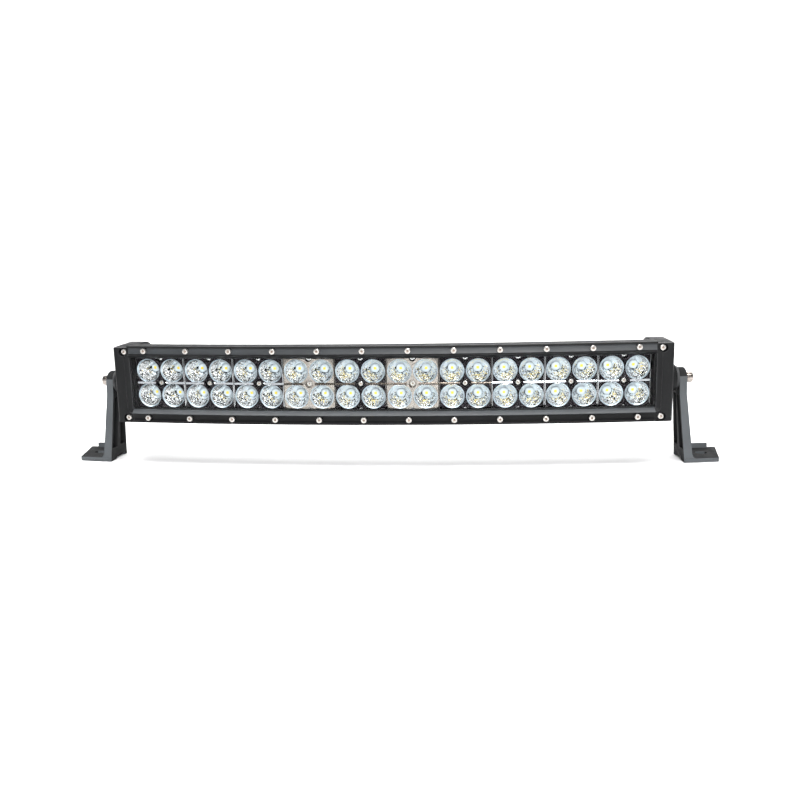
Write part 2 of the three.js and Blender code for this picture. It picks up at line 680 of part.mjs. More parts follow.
function makePivotBolt() {
  const under = BRACKET_X + UPRIGHT_THICKNESS + GAP;
  const top = under + LOCK_WASHER_H + BOLT_HEAD_H;
  const tip = BOSS_HEIGHT - BOLT_REACH;
  const profile = [
    [0, tip],
    [BOLT_R, tip],
    [BOLT_R, under],
    [LOCK_WASHER_R, under],
    [LOCK_WASHER_R, under + LOCK_WASHER_H],
    [BOLT_HEAD_R, under + LOCK_WASHER_H],
    [BOLT_HEAD_R, top],
    [BOLT_SOCKET_R, top],
    [BOLT_SOCKET_R, top - BOLT_SOCKET_DEPTH],
    [0, top - BOLT_SOCKET_DEPTH],
  ];
  return turned(profile).rotateZ(-Math.PI / 2).translate(0, PIVOT_DEPTH, 0);
}

// ---------------------------------------------------------------- small pieces

// A socket-head screw along y, its head's front at the given depth.
function makeScrew(front) {
  return turned([
    [0, front],
    [SCREW_HEAD_R, front],
    [SCREW_HEAD_R, front + SCREW_HEAD_H],
    [SCREW_SHANK_R, front + SCREW_HEAD_H],
    [SCREW_SHANK_R, front + SCREW_HEAD_H + SCREW_SHANK_L],
    [0, front + SCREW_HEAD_H + SCREW_SHANK_L],
  ], SMALL_ROUND);
}

// The cable gland, open where the cable goes in and blanked off inside.
function makeGland() {
  const seat = FITTING_SEAT + GAP;
  return turned([
    [0, seat],
    [GLAND_NUT_R, seat],
    [GLAND_NUT_R, seat + 6],
    [GLAND_NUT_R - 1.5, seat + 7],
    [GLAND_NUT_R - 1.5, GLAND_END - 3],
    [GLAND_NUT_R - 4, GLAND_END],
    [GLAND_BORE_R, GLAND_END],
    [GLAND_BORE_R, seat + 2],
    [0, seat + 2],
  ]);
}

function makeBreather() {
  const seat = FITTING_SEAT + GAP;
  return turned([
    [0, seat],
    [BREATHER_R, seat],
    [BREATHER_R, BREATHER_END - 1],
    [BREATHER_R - 1, BREATHER_END],
    [0, BREATHER_END],
  ]);
}

// ---------------------------------------------------------------- assembly

const lightBar = new THREE.Group();
const bar = new THREE.Group();
bar.position.set(0, FRONT_Y, BAR_HEIGHT);
lightBar.add(bar);

bar.add(named("housing", makeHousing(), BLACK_COAT));
bar.add(named("strip_top", makeStrip(1), BLACK_COAT));
bar.add(named("strip_bottom", makeStrip(-1), BLACK_COAT));
bar.add(named("lens", makeLens(), CLEAR_LENS));
bar.add(named("lens_gasket", makeLensGasket(), BLACK_RUBBER));
bar.add(named("driver_board", makeDriver(), DRIVER_GREEN));

moduleStations().forEach((s, i) => {
  const place = station(s);
  place.add(named(`reflector_${i + 1}`, makeReflector(), CHROME_COAT));
  bar.add(place);
});

screwStations().forEach((s, i) => {
  const place = station(s);
  for (const [row, z] of [["top", SCREW_ROW], ["bottom", -SCREW_ROW]])
    place.add(named(`strip_screw_${row}_${i + 1}`, makeScrew(0).translate(0, 0, z), STAINLESS));
  bar.add(place);
});

for (const [hand, side] of [["left", -1], ["right", 1]]) {
  bar.add(named(`led_board_${hand}`, makeBoard(side), BOARD_WHITE));

  // Both ends share one drawing; the left end is its mirror image.
  const end = station(side * FRAME_START);
  end.scale.x = side;
  end.position.z = -END_DROP;
  end.add(named(`end_frame_${hand}`, makeEndFrame(), BLACK_COAT));
  end.add(named(`end_cap_${hand}`, makeCap(), BLACK_COAT));
  end.add(named(`end_gasket_${hand}`, makeEndGasket(), BLACK_RUBBER));
  for (const [row, z] of [["top", CORNER_SCREW_ROW], ["bottom", -CORNER_SCREW_ROW]]) {
    const screw = makeScrew(CORNER_SCREW_FRONT).translate(CORNER_SCREW_S - FRAME_START, 0, z);
    end.add(named(`corner_screw_${row}_${hand}`, screw, STAINLESS));
  }
  bar.add(end);

  const pivot = station(side * END_FACE);
  pivot.scale.x = side;
  pivot.position.z = -END_DROP;
  pivot.add(named(`bracket_${hand}`, makeBracket(), BRACKET_COAT));
  pivot.add(named(`pivot_washer_${hand}`, makeWasher(), BLACK_NYLON));
  pivot.add(named(`pivot_bolt_${hand}`, makePivotBolt(), STAINLESS));
  bar.add(pivot);
}

const glandPlace = station(-FITTING_S);
glandPlace.add(named("cable_gland", makeGland(), BLACK_NYLON));
const breatherPlace = station(FITTING_S);
breatherPlace.add(named("breather", makeBreather(), BLACK_NYLON));
bar.add(glandPlace, breatherPlace);

export default lightBar;
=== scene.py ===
"""The finished look of a curved double-row LED light bar on two swivelling brackets.

Shapes are drawn in millimetres and made into pieces in metres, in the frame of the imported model.
Long pieces share one curved coordinate system: s runs along the bar's front surface, d goes back
into the bar from that surface, and h is the height above the bar's middle plane. End pieces and
small pieces are drawn at a station on that curve: x along the bar, y back into it, z up.
"""

import math
import bmesh
import bpy
from mathutils import Matrix, Vector, noise


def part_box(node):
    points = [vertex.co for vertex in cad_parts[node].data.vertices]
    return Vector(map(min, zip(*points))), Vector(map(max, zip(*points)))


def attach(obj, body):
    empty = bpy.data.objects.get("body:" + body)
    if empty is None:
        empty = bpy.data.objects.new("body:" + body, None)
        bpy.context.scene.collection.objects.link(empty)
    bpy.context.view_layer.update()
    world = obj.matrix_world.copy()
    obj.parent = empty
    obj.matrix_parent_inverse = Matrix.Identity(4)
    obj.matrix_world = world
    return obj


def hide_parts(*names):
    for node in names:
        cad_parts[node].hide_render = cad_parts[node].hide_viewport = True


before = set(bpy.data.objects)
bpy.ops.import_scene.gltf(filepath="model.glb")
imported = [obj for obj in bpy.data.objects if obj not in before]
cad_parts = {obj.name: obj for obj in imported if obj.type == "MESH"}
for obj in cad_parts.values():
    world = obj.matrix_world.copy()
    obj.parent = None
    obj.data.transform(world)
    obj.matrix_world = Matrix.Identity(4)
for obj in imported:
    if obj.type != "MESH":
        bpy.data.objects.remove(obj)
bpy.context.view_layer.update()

MM = 0.001
BAR = "bar"
HANDS = (("left", -1), ("right", 1))
ROWS = (("top", 1), ("bottom", -1))

# --- sizes, in millimetres

BOW_RADIUS = 2383  # of the bar's front surface, centred behind the bar
BOW_STEPS = 72  # facets along a long piece
STRIP_RIDGE = 0.6  # depth of the strips' outer ridge, the foremost edge

strip_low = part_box("strip_top")[0]
housing_low, housing_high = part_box("housing")
cap_low, cap_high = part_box("end_cap_right")
FRONT_Y = strip_low.y / MM - STRIP_RIDGE
BAR_HEIGHT = (housing_low.z + housing_high.z) / 2 / MM
END_HEIGHT = (cap_low.z + cap_high.z) / 2 / MM
FLANGE_HALF = (housing_high.z - housing_low.z) / 2 / MM
END_HALF = (cap_high.z - cap_low.z) / 2 / MM
END_DROP = BAR_HEIGHT - END_HEIGHT

GAP = 0.3  # between faces that touch
OVER = 1  # how far a cutter reaches past what it cuts
FLANGE_FRONT = 7.3
BODY_END = BOW_RADIUS * math.asin(housing_high.x / MM / (BOW_RADIUS - FLANGE_FRONT))
FRAME_START = BODY_END + GAP
CAP_START = FRAME_START + 1.1
CORNER_SCREW_S = 262.6
END_FACE = 273.4
LENS_END = BODY_END + 4.5
BOARD_END = BODY_END - 6
END_WIDTH = END_FACE - FRAME_START

STRIP_FACE = 3.4
STRIP_BACK = 7
STRIP_CHANNEL = (36.4, 30.2)
CHANNEL_SLANT = 0.8  # the channel's floor faces a little away from the window
STRIP_LIP = 29.4
WINDOW_HALF = 25.8

LENS_THICKNESS = 2
LENS_HALF = 28.5
LENS_SEAT = 11.3
LENS_RECESS_HALF = 28.8
TROUGH_HALF = 25.4
FLANGE_HOLE_BACK = 18
FLANGE_BACK = 16
FLANGE_SHOULDER = 20
FLANGE_ROOT = 22
FLANGE_TAPER = 2
BODY_HALF = 30
BOARD_SEAT = 31.4
BOARD_THICKNESS = 1.6
SPREADER_BACK = 35.4
CHAMBER_BACK = 48.4
CHAMBER_HALF = 20
BODY_BACK = 51.4
BODY_CHAMFER = 4
FIN_ROWS = 4  # on each side of the middle fin
FIN_TIPS = 68
FIN_SAG = 0.014  # the fins' tips lie on a curve, lower away from the middle
FIN_PITCH = 6
FIN_HALF = 1
RIB_HEIGHT = 2.4
RIB_WIDTH = 2

SCREW_ROW = 33.5
SCREW_HOLE_R = 1.8
SCREW_HEAD_R = 2.75
SCREW_HEAD_H = 3
SCREW_SHANK_R = 1.5
SCREW_SHANK_L = 11
SCREW_SOCKET_R = 1.3
STRIP_SCREW_FRONT = 0.05
CORNER_SCREW_X = CORNER_SCREW_S - FRAME_START
CORNER_SCREW_ROW = 33.2
CORNER_SCREW_FRONT = 6.4
CORNER_POCKET_R = 4.2

MODULE_HALF_WIDTH = 24.85
MODULE_HALF_HEIGHT = 25
MODULE_BACK = 29.2
CUP_PITCH = 24.8
CUP_MOUTH_R = 11.7
CUP_LIP = 0.75  # bevel round the mouth
CUP_FLOOR_R = 4.3
CUP_SIDES = 90
CUP_RINGS = 24
CUP_RIM_R = 10.7  # the wall is paler outside this
CUP_BUMPS = 0.62  # dimples to a millimetre
CUP_BUMP_HEIGHT = 0.34
PAINTED_REFLECTIONS_TOP = 1.5  # below this height from a cup's middle the wall gets dark speckles in its colour: painted reflections of dark surroundings
GROOVE_HALF = 2
GROOVE_DEPTH = 1.2
GROOVE_START = 5.4
NOTCHES = ((-1, 2.6), (1, 4.3))  # which edge, and the notch's radius
MODULE_SCREW_SEAT = 1.4
MODULE_SCREW_HEAD_R = 2.2
PAINTED_REFLECTION_MODULES = (4, 6)  # these stand at a slightly different angle in the real bar, so that their faces catch the light; here they are not turned, and their faces get a lighter tint: painted reflection
PAINTED_DULL_GROOVES = (5, 7)  # and so do only the grooves of these; the grooves of these and of the modules above get a duller tint instead of bright chrome: painted reflection
EMITTER_FRONT = 28.4
EMITTER_R = 3.9
EMITTER_CHIP = 1.3  # half the side of the yellow square
EMITTER_RIM = 0.35  # of the package round it

FRAME_FRONT = 4.5
FRAME_BACK = 11
WINDOW_LIP_X = 5.5
WINDOW_LIP_DEPTH = 5.5
WINDOW_FOOT_X = 0.2
CAP_BACK = 66
CAP_CORNER_R = 18
CAP_TOP_R = 22
CAP_WALL = 4.5
CAP_CAVITY_FRONT = 21.8
BOSS_R = 13.75
BOSS_HEIGHT = 6.8
BOSS_CORE_R = 9
SIDE_SCREW_DEPTH = 40
SIDE_SCREW_HEIGHT = 26
SIDE_SCREW_HEAD_H = 2.6
SHORT_SHANK = 8
SIDE_POCKET_R = 3.5
SIDE_POCKET_DEPTH = 3.2

PIVOT_DEPTH = 28
WASHER_R = 11.5
WASHER_THICKNESS = 2.4
BRACKET_X = BOSS_HEIGHT + 2 * GAP + WASHER_THICKNESS
BOLT_R = 3
BOLT_HOLE_R = 3.3
BOLT_HEAD_R = 5
BOLT_HEAD_H = 6
LOCK_WASHER_R = 4.5
LOCK_WASHER_H = 1.5
BOLT_SOCKET_R = 2.9
BOLT_REACH = 9
KNURL_DEPTH = 0.12

GROUND = -END_HEIGHT
UPRIGHT_TOP_R = 10.2
UPRIGHT_FRONT = 11
UPRIGHT_REAR = 44.5
UPRIGHT_THICKNESS = 7.2
UPRIGHT_FOOT_THICKNESS = 8.1
UPRIGHT_KNEE = -14
UPRIGHT_LEAN = 5.4
UPRIGHT_WALL = 2.6
RECESS_DEPTH = 4.5
RECESS_TOP = -16
RECESS_FLOOR = 13
RECESS_RIB = 6
HEAD_ROUNDING = 1.6  # of the outer edge over the bolt
HEAD_SHADE = 2.5  # above this height the round head's upward faces get the darker copy of the coat: painted shade
FOOT_LENGTH = 34.4
FOOT_THICKNESS = 4
FOOT_SKEW = 1
FOOT_DEPTH = 42
FOOT_FLARE = 10
FOOT_FILLET = 4
FOOT_RIB_LENGTH = 27
FOOT_RIB_HEIGHT = 4.5
FOOT_RIB_THICKNESS = 3.5
ARCH = ((20, -1), (40.5, -1), (40.5, 3), (24, 3))  # y, and z above the ground, under the inner skirt
ARCH_DEPTH = 8.9
SLOT_R = 4.4
SLOT_REACH = 1.6

FITTING_S = 107.5
FITTING_SEAT = 51.5
FITTING_CLEARANCE_R = 11
PORT_R = 5
GLAND_END = 67
GLAND_BORE_R = 3.4
BREATHER_END = 57


# --- drawing in two dimensions


def arc(cx, cy, radius, start, end, steps):
    """Points on an arc, with its ends in degrees."""
    angles = [math.radians(start + (end - start) * i / steps) for i in range(steps + 1)]
    return [(cx + radius * math.cos(a), cy + radius * math.sin(a)) for a in angles]


def fillet(corner, before, after, radius, steps):
    """The arc that rounds one corner between the directions to its neighbours."""
    opening = before.angle(after)
    reach = min(radius / math.tan(opening / 2), before.length * 0.49, after.length * 0.49)
    radius = reach * math.tan(opening / 2)
    start = corner + before.normalized() * reach
    middle = (before.normalized() + after.normalized()).normalized()
    centre = corner + middle * (radius / math.sin(opening / 2))
    turn = math.copysign(math.pi - opening, after.x * before.y - after.y * before.x)
    first = start - centre
    return [centre + Matrix.Rotation(turn * i / steps, 2) @ first for i in range(steps + 1)]


def rounded(points, radius, steps=3):
    """A closed outline with its corners filleted. A point's third number is a radius of its own."""
    result = []
    for i, point in enumerate(points):
        corner = Vector(point[:2])
        before = Vector(points[i - 1][:2]) - corner
        after = Vector(points[(i + 1) % len(points)][:2]) - corner
        own = point[2] if len(point) > 2 else radius
        straight = before.length * after.length == 0 or before.angle(after) > math.radians(170)
        if own == 0 or straight:
            result.append(corner)
        else:
            result.extend(fillet(corner, before, after, own, steps))
    return result


def mirrored(points):
    """An outline and its mirror image in the second coordinate."""
    return list(points) + [(p[0], -p[1], *p[2:]) for p in reversed(points)]


def polygon(sides, radius, turn=0):
    return arc(0, 0, radius, turn, turn + 360, sides)[:-1]


# --- solids


def skin(rings, wrap=False):
    """A closed solid through rings of points, capped at both ends, or joined end to end."""
    bm = bmesh.new()
    loops = [[bm.verts.new(p) for p in ring] for ring in rings]
    pairs = list(zip(loops, loops[1:])) + ([(loops[-1], loops[0])] if wrap else [])
    for one, other in pairs:
        for i in range(len(one)):
            bm.faces.new((one[i - 1], one[i], other[i], other[i - 1]))
    if not wrap:
        bm.faces.new(loops[0])
        bm.faces.new(loops[-1])
    bmesh.ops.recalc_face_normals(bm, faces=bm.faces)
    return bm


AXES = {
    "x": lambda u, v, t: (t, u, v),
    "y": lambda u, v, t: (u, t, v),
    "z": lambda u, v, t: (u, v, t),
}


def prism(points, axis, start, end):
    """A prism of an outline, drawn in the other two axes, along one axis."""
    return skin([[AXES[axis](p[0], p[1], t) for p in points] for t in (start, end)])


def turned(profile, axis, centre=(0, 0), sides=48, wrap=False, turn=0):
    """A turned solid from (radius, place along the axis) pairs."""
    rings = []
    for radius, t in profile:
        ring = polygon(sides, radius, turn)
        rings.append([AXES[axis](u + centre[0], v + centre[1], t) for u, v in ring])
    return skin(rings, wrap)


def block(x, y, z):
    """A box between pairs of limits."""
    return prism([(x[0], y[0]), (x[1], y[0]), (x[1], y[1]), (x[0], y[1])], "z", *z)


def as_mesh(bm, name="work"):
    """The mesh of a solid, which is used up."""
    mesh = bpy.data.meshes.new(name)
    bm.to_mesh(mesh)
    bm.free()
    return mesh


def linked(name, data):
    """A new object in the scene."""
    obj = bpy.data.objects.new(name, data)
    bpy.context.scene.collection.objects.link(obj)
    return obj


def joined(solids):
    """Several solids that stay clear of each other, as one."""
    whole = bmesh.new()
    for bm in solids:
        mesh = as_mesh(bm)
        whole.from_mesh(mesh)
        bpy.data.meshes.remove(mesh)
    return whole


def combined(bm, others, operation):
    """A solid with others cut from it, joined to it or kept in common."""
    work = [linked("work", as_mesh(b)) for b in (bm, *others)]
    for tool in work[1:]:
        modifier = work[0].modifiers.new(operation, "BOOLEAN")
        modifier.operation = operation
        modifier.solver = "EXACT"
        modifier.object = tool
    result = bmesh.new()
    result.from_object(work[0], bpy.context.evaluated_depsgraph_get())
    for obj in work:
        mesh = obj.data
        bpy.data.objects.remove(obj)
        bpy.data.meshes.remove(mesh)
    bmesh.ops.remove_doubles(result, verts=result.verts, dist=0.002)
    bmesh.ops.dissolve_degenerate(result, edges=result.edges, dist=0.002)
    return result


def cut(bm, *others):
    return combined(bm, others, "DIFFERENCE")


def united(bm, *others):
    return combined(bm, others, "UNION")


def common(bm, *others):
    return combined(bm, others, "INTERSECT")


def softened(bm, width, angle=30):
    """A solid with its sharp edges rounded a little."""
    limit = math.radians(angle)
    sharp = [e for e in bm.edges if e.is_manifold and e.calc_face_angle(0) > limit]
    bmesh.ops.bevel(
        bm, geom=sharp, offset=width, offset_type="OFFSET", segments=2, profile=0.5, affect="EDGES",
        clamp_overlap=True,
    )
    return bm


# --- places and pieces


def on_curve(s, d, h):
    """A place in the bar's curved coordinates, in the frame's."""
    angle = s / BOW_RADIUS
    radius = BOW_RADIUS - d
    y = FRONT_Y + BOW_RADIUS - radius * math.cos(angle)
    return Vector((radius * math.sin(angle), y, BAR_HEIGHT + h))


def station(s, height=BAR_HEIGHT):
    """The place of a small piece at s: x along the bar, y back into it, z up."""
    place = on_curve(s, 0, height - BAR_HEIGHT) * MM
    return Matrix.Translation(place) @ Matrix.Rotation(s / BOW_RADIUS, 4, "Z")


def moved(place, x, y, z, turn=0):
    """A place moved in its own directions, and turned about its own y."""
    return place @ Matrix.Translation(Vector((x, y, z)) * MM) @ Matrix.Rotation(math.radians(turn), 4, "Y")


def moved_to(bm, s):
    """A solid drawn in millimetres at a station, moved to its place in the bar."""
    place = station(s)
    matrix = Matrix.Translation(place.translation / MM) @ place.to_3x3().to_4x4()
    bmesh.ops.transform(bm, matrix=matrix, verts=bm.verts)
    return bm


def spun(bm, degrees, axis):
    """A solid turned about an axis through the origin."""
    turn = Matrix.Rotation(math.radians(degrees), 3, axis)
    bmesh.ops.rotate(bm, cent=(0, 0, 0), matrix=turn, verts=bm.verts)
    return bm


def sweep(points, start, end, steps=BOW_STEPS):
    """A long piece of constant section, drawn as (d, h)."""
    places = [start + (end - start) * i / steps for i in range(steps + 1)]
    return skin([[on_curve(s, p[0], p[1]) for p in points] for s in places])


def metres(bm, name, crease=35, side=1, place=None):
    """A solid's mesh in metres, smooth up to a crease angle and mirrored for side -1."""
    bmesh.ops.scale(bm, vec=Vector((MM * side, MM, MM)), verts=bm.verts)
    if side < 0:
        bmesh.ops.reverse_faces(bm, faces=bm.faces)
    if place is not None:
        bmesh.ops.transform(bm, matrix=place, verts=bm.verts)
    for face in bm.faces:
        face.smooth = True
    for edge in bm.edges:
        edge.smooth = edge.calc_face_angle(0) < math.radians(crease)
    return as_mesh(bm, name)


def piece(name, bm, materials, body=BAR, place=None, side=1, slot=None, replaces=(), baked=False):
    """Makes a solid a piece that rides on a body. Baked, it's drawn in its place."""
    mesh = metres(bm, name, side=side, place=place if baked else None)
    placed(name, mesh, materials, body, None if baked else place, replaces)


def placed(name, mesh, materials, body, place, replaces=()):
    """An object of a finished mesh, with its materials, riding on its body."""
    if not mesh.materials:
        for material in materials:
            mesh.materials.append(material)
    obj = linked(name, mesh)
    if place is not None:
        obj.matrix_world = place
    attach(obj, body)
    if replaces:
        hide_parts(*replaces)


# --- materials


def add_node(tree, kind, **inputs):
    """A new node in a tree, with each input linked from a socket or set to a value."""
    node = tree.nodes.new("ShaderNode" + kind)
    for name, value in inputs.items():
        socket = node.inputs[name.replace("_", " ")]
        if isinstance(value, bpy.types.NodeSocket):
            tree.links.new(value, socket)
        else:
            socket.default_value = value
    return node


class Finish:
    """A material on the Principled shader, with its patterns in the piece's own coordinates."""

    def __init__(self, name, rough, metallic=0.0, **sockets):
        self.material = bpy.data.materials.new(name)
        self.material.use_nodes = True
        self.tree = self.material.node_tree
        self.shader = self.tree.nodes["Principled BSDF"]
        self.shader.inputs["Roughness"].default_value = rough
        self.shader.inputs["Metallic"].default_value = metallic
        for socket, value in sockets.items():
            self.shader.inputs[socket.replace("_", " ")].default_value = value
        self.place = self.add("TexCoord").outputs["Object"]

    def add(self, kind, **inputs):
        return add_node(self.tree, kind, **inputs)

    def noise(self, scale, detail=2.0, low=0.0, high=1.0, span=(0.3, 0.7), distortion=0.0):
        """Cloudy noise with so many features to a metre, spread from low to high."""
        texture = self.add("TexNoise", Vector=self.place, Scale=scale, Detail=detail, Distortion=distortion)
        return self.spread(texture.outputs["Fac"], span, low, high)

    def rings(self, scale, axis, low=0.0, high=1.0):
        """Fine turning marks round an axis."""
        texture = self.add("TexWave", Vector=self.place, Scale=scale, Distortion=1.5)
        texture.wave_type = "RINGS"
        texture.rings_direction = axis
        return self.spread(texture.outputs["Fac"], (0, 1), low, high)

    def edges(self, radius, low, high):
        """High within a radius of an edge."""
        bevel = self.add("Bevel", Radius=radius)
        bevel.samples = 6
        facing = self.add("VectorMath")
        facing.operation = "DOT_PRODUCT"
        self.tree.links.new(bevel.outputs["Normal"], facing.inputs[0])
        self.tree.links.new(self.add("NewGeometry").outputs["Normal"], facing.inputs[1])
        return self.spread(facing.outputs["Value"], (0.98, 0.8), low, high)

    def spread(self, value, span, low, high):
        """A value from one span spread over another."""
        node = self.add(
            "MapRange", Value=value, From_Min=span[0], From_Max=span[1], To_Min=low, To_Max=high
        )
        return node.outputs["Result"]

    def product(self, one, other):
        node = self.add("Math")
        node.operation = "MULTIPLY"
        self.tree.links.new(one, node.inputs[0])
        self.tree.links.new(other, node.inputs[1])
        return node.outputs["Value"]

    def mix(self, one, other, share):
        """Between two colours, or from a colour socket to a colour."""
        node = self.add("Mix")
        node.data_type = "RGBA"
        self.tree.links.new(share, node.inputs["Factor"])
        for name, colour in (("A", one), ("B", other)):
            target = next(i for i in node.inputs if i.name == name and i.type == "RGBA")
            if isinstance(colour, tuple):
                target.default_value = (*colour, 1)
            else:
                self.tree.links.new(colour, target)
        return next(o for o in node.outputs if o.type == "RGBA")

    def colour(self, value):
        self.tree.links.new(value, self.shader.inputs["Base Color"])
        return self

    def rough(self, value):
        self.tree.links.new(value, self.shader.inputs["Roughness"])
        return self

    def bump(self, height, distance, strength=1.0):
        """Adds relief of that height in metres."""
        node = self.add("Bump", Strength=strength, Distance=distance, Height=height)
        self.tree.links.new(node.outputs["Normal"], self.shader.inputs["Normal"])
        return self


def powder_coat(name, dark, light, rough, grain, height, edge_wear_and_highlight_colour, **sockets):
    """Powder coating: orange-peel grain, a faintly cloudy tone, dust, and lighter along edges, partly as
    wear and partly as a painted edge highlight.
    """
    finish = Finish(name, rough, **sockets)
    tone = finish.mix(dark, light, finish.noise(30))
    dusty = finish.mix(tone, tuple(2 * c for c in light), finish.noise(1900, 1, 0, 0.3, (0.68, 0.76)))
    # Lighter along edges: partly wear, partly a painted highlight.
    edge_wear_and_highlight = finish.product(finish.edges(0.0005, 0, 0.8), finish.noise(400, 3, 0.35, 1, (0.35, 0.6)))
    finish.colour(finish.mix(dusty, edge_wear_and_highlight_colour, edge_wear_and_highlight))
    finish.rough(finish.noise(160, 3, rough - 0.04, rough + 0.05))
    finish.bump(finish.noise(grain), height)
    return finish.material


def bare_metal(name, dark, light, rough, axis):
    """Machined stainless steel with turning marks round an axis and a little staining."""
    finish = Finish(name, rough, 1.0)
    finish.colour(finish.mix(light, dark, finish.noise(700, 4)))
    finish.rough(finish.noise(1500, 3, rough - 0.06, rough + 0.1))
    finish.bump(finish.rings(1100, axis), 0.00001, 0.35)
    return finish.material


def mirror_coat(name, tint, rough, relief, painted_dark_reflections=False):
    """Metallised plastic, with soft ripples from the moulding under it, or with small dark speckles in its
    colour: painted reflections.
    """
    finish = Finish(name, rough, 1.0)
    shade = tuple(0.88 * c for c in tint)
    tone = finish.mix(tint, shade, finish.noise(260, 4))
    # Dark speckles mixed into the chrome's colour: painted reflections of dark surroundings.
    if painted_dark_reflections:
        tone = finish.mix(tone, (0.012, 0.012, 0.014), finish.noise(480, 2, 0, 1, (0.52, 0.55), 1))
    finish.colour(tone)
    finish.rough(finish.noise(900, 4, rough * 0.6, rough * 1.7))
    finish.bump(finish.noise(420), relief)
    return finish.material


def moulded(name, dark, light, rough, grain, height):
    """Moulded plastic or rubber: a faint grain and an uneven sheen."""
    finish = Finish(name, rough)
    finish.colour(finish.mix(dark, light, finish.noise(90, 4)))
    finish.rough(finish.noise(240, 4, rough - 0.08, rough + 0.1))
    finish.bump(finish.noise(grain, 3), height)
    return finish.material


def clear_cover():
    """Clear polycarbonate: a view straight through, under a film of reflection on the outside."""
    finish = Finish("clear_lens", 0.03, 1.0, IOR=1.58)
    finish.colour(finish.noise(60, 3, 0.72, 0.8))
    finish.rough(finish.noise(180, 5, 0.015, 0.07))
    through = finish.add("BsdfTransparent", Color=(0.975, 0.985, 0.985, 1))
    fresnel = finish.add("Fresnel", IOR=1.2)
    outside = finish.add("Math")
    outside.operation = "SUBTRACT"
    outside.inputs[0].default_value = 1
    link = finish.tree.links.new
    link(finish.add("NewGeometry").outputs["Backfacing"], outside.inputs[1])
    film = finish.product(fresnel.outputs["Fac"], outside.outputs["Value"])
    mixed = finish.add("MixShader", Fac=film)
    link(through.outputs["BSDF"], mixed.inputs[1])
    link(finish.shader.outputs["BSDF"], mixed.inputs[2])
    link(mixed.outputs["Shader"], finish.tree.nodes["Material Output"].inputs["Surface"])
    return finish.material


def circuit_board():
    """White solder mask with faint copper tracks under it."""
    finish = Finish("board_white", 0.4)
    mask = finish.mix((0.62, 0.66, 0.68), (0.78, 0.8, 0.8), finish.noise(70, 3))
    finish.colour(finish.mix(mask, (0.42, 0.46, 0.46), finish.rings(22, "Z", 0, 0.3)))
    finish.rough(finish.noise(300, 3, 0.3, 0.5))
    finish.bump(finish.noise(900), 0.00002)
    return finish.material


BLACK_COAT = powder_coat(
    "black_coat", (0.005, 0.0053, 0.0057), (0.0075, 0.0078, 0.0083), 0.42, 2600, 0.00002,
    (0.07, 0.072, 0.075), Specular_IOR_Level=0.13,
)
# A lighter copy of the black coat for strip faces that catch the light: painted light.
STRIP_PAINTED_LIGHT = powder_coat(
    "strip_painted_light", (0.024, 0.027, 0.03), (0.03, 0.034, 0.038), 0.42, 2600, 0.00002,
    (0.06, 0.062, 0.066), Specular_IOR_Level=0.4,
)
BRACKET_COAT = powder_coat(
    "bracket_coat", (0.05, 0.055, 0.059), (0.063, 0.069, 0.074), 0.58, 1700, 0.00004,
    (0.085, 0.092, 0.097), Specular_IOR_Level=0.25,
)
# A darker copy of the bracket coat for faces turned away from the light: painted shade.
BRACKET_PAINTED_SHADE = powder_coat(
    "bracket_painted_shade", (0.012, 0.0125, 0.013), (0.017, 0.0175, 0.018), 0.6, 1700, 0.00004,
    (0.03, 0.032, 0.034), Specular_IOR_Level=0.06,
)
STAINLESS = bare_metal("stainless", (0.34, 0.32, 0.3), (0.62, 0.6, 0.57), 0.24, "Y")
STAINLESS_BOLT = bare_metal("stainless_bolt", (0.22, 0.19, 0.17), (0.44, 0.4, 0.37), 0.2, "X")
# A darker steel for the inside of the sockets: painted shade.
SOCKET_PAINTED_SHADE = bare_metal("socket_steel_painted_shade", (0.16, 0.12, 0.1), (0.32, 0.25, 0.21), 0.4, "Y")
CHROME = mirror_coat("reflector_chrome", (0.99, 0.99, 0.99), 0.06, 0.00014)
CHROME_PAINTED_REFLECTIONS = mirror_coat("reflector_chrome_painted_reflections", (0.99, 0.99, 0.99), 0.06, 0.00014, painted_dark_reflections=True)
CHROME_RIM = mirror_coat("reflector_chrome_rim", (0.62, 0.7, 0.76), 0.35, 0.00002)
CHROME_SMOOTH = mirror_coat("reflector_chrome_smooth", (0.9, 0.9, 0.92), 0.1, 0.00002)
FACE_DARK = mirror_coat("reflector_face_dark", (0.014, 0.012, 0.014), 0.12, 0.00003)
FACE_PAINTED_REFLECTION = mirror_coat("reflector_face_painted_reflection", (0.3, 0.27, 0.245), 0.16, 0.00003)
LENS_CLEAR = clear_cover()
BOARD_WHITE = circuit_board()
EMITTER_WHITE = moulded("emitter_ceramic", (0.5, 0.57, 0.63), (0.58, 0.65, 0.7), 0.35, 2500, 0.00001)
PHOSPHOR = moulded("emitter_phosphor", (0.8, 0.56, 0.03), (0.9, 0.68, 0.07), 0.3, 3500, 0.00002)
RUBBER = moulded("seal_rubber", (0.008, 0.008, 0.009), (0.018, 0.018, 0.02), 0.75, 1600, 0.00004)
NYLON = moulded("black_nylon", (0.011, 0.012, 0.013), (0.022, 0.023, 0.025), 0.5, 1300, 0.00003)
MEMBRANE = moulded("breather_membrane", (0.5, 0.5, 0.48), (0.66, 0.66, 0.63), 0.8, 5200, 0.00003)
DRIVER_GREEN = moulded("driver_green", (0.008, 0.07, 0.03), (0.014, 0.11, 0.05), 0.4, 1200, 0.00005)


# --- long pieces of the bar


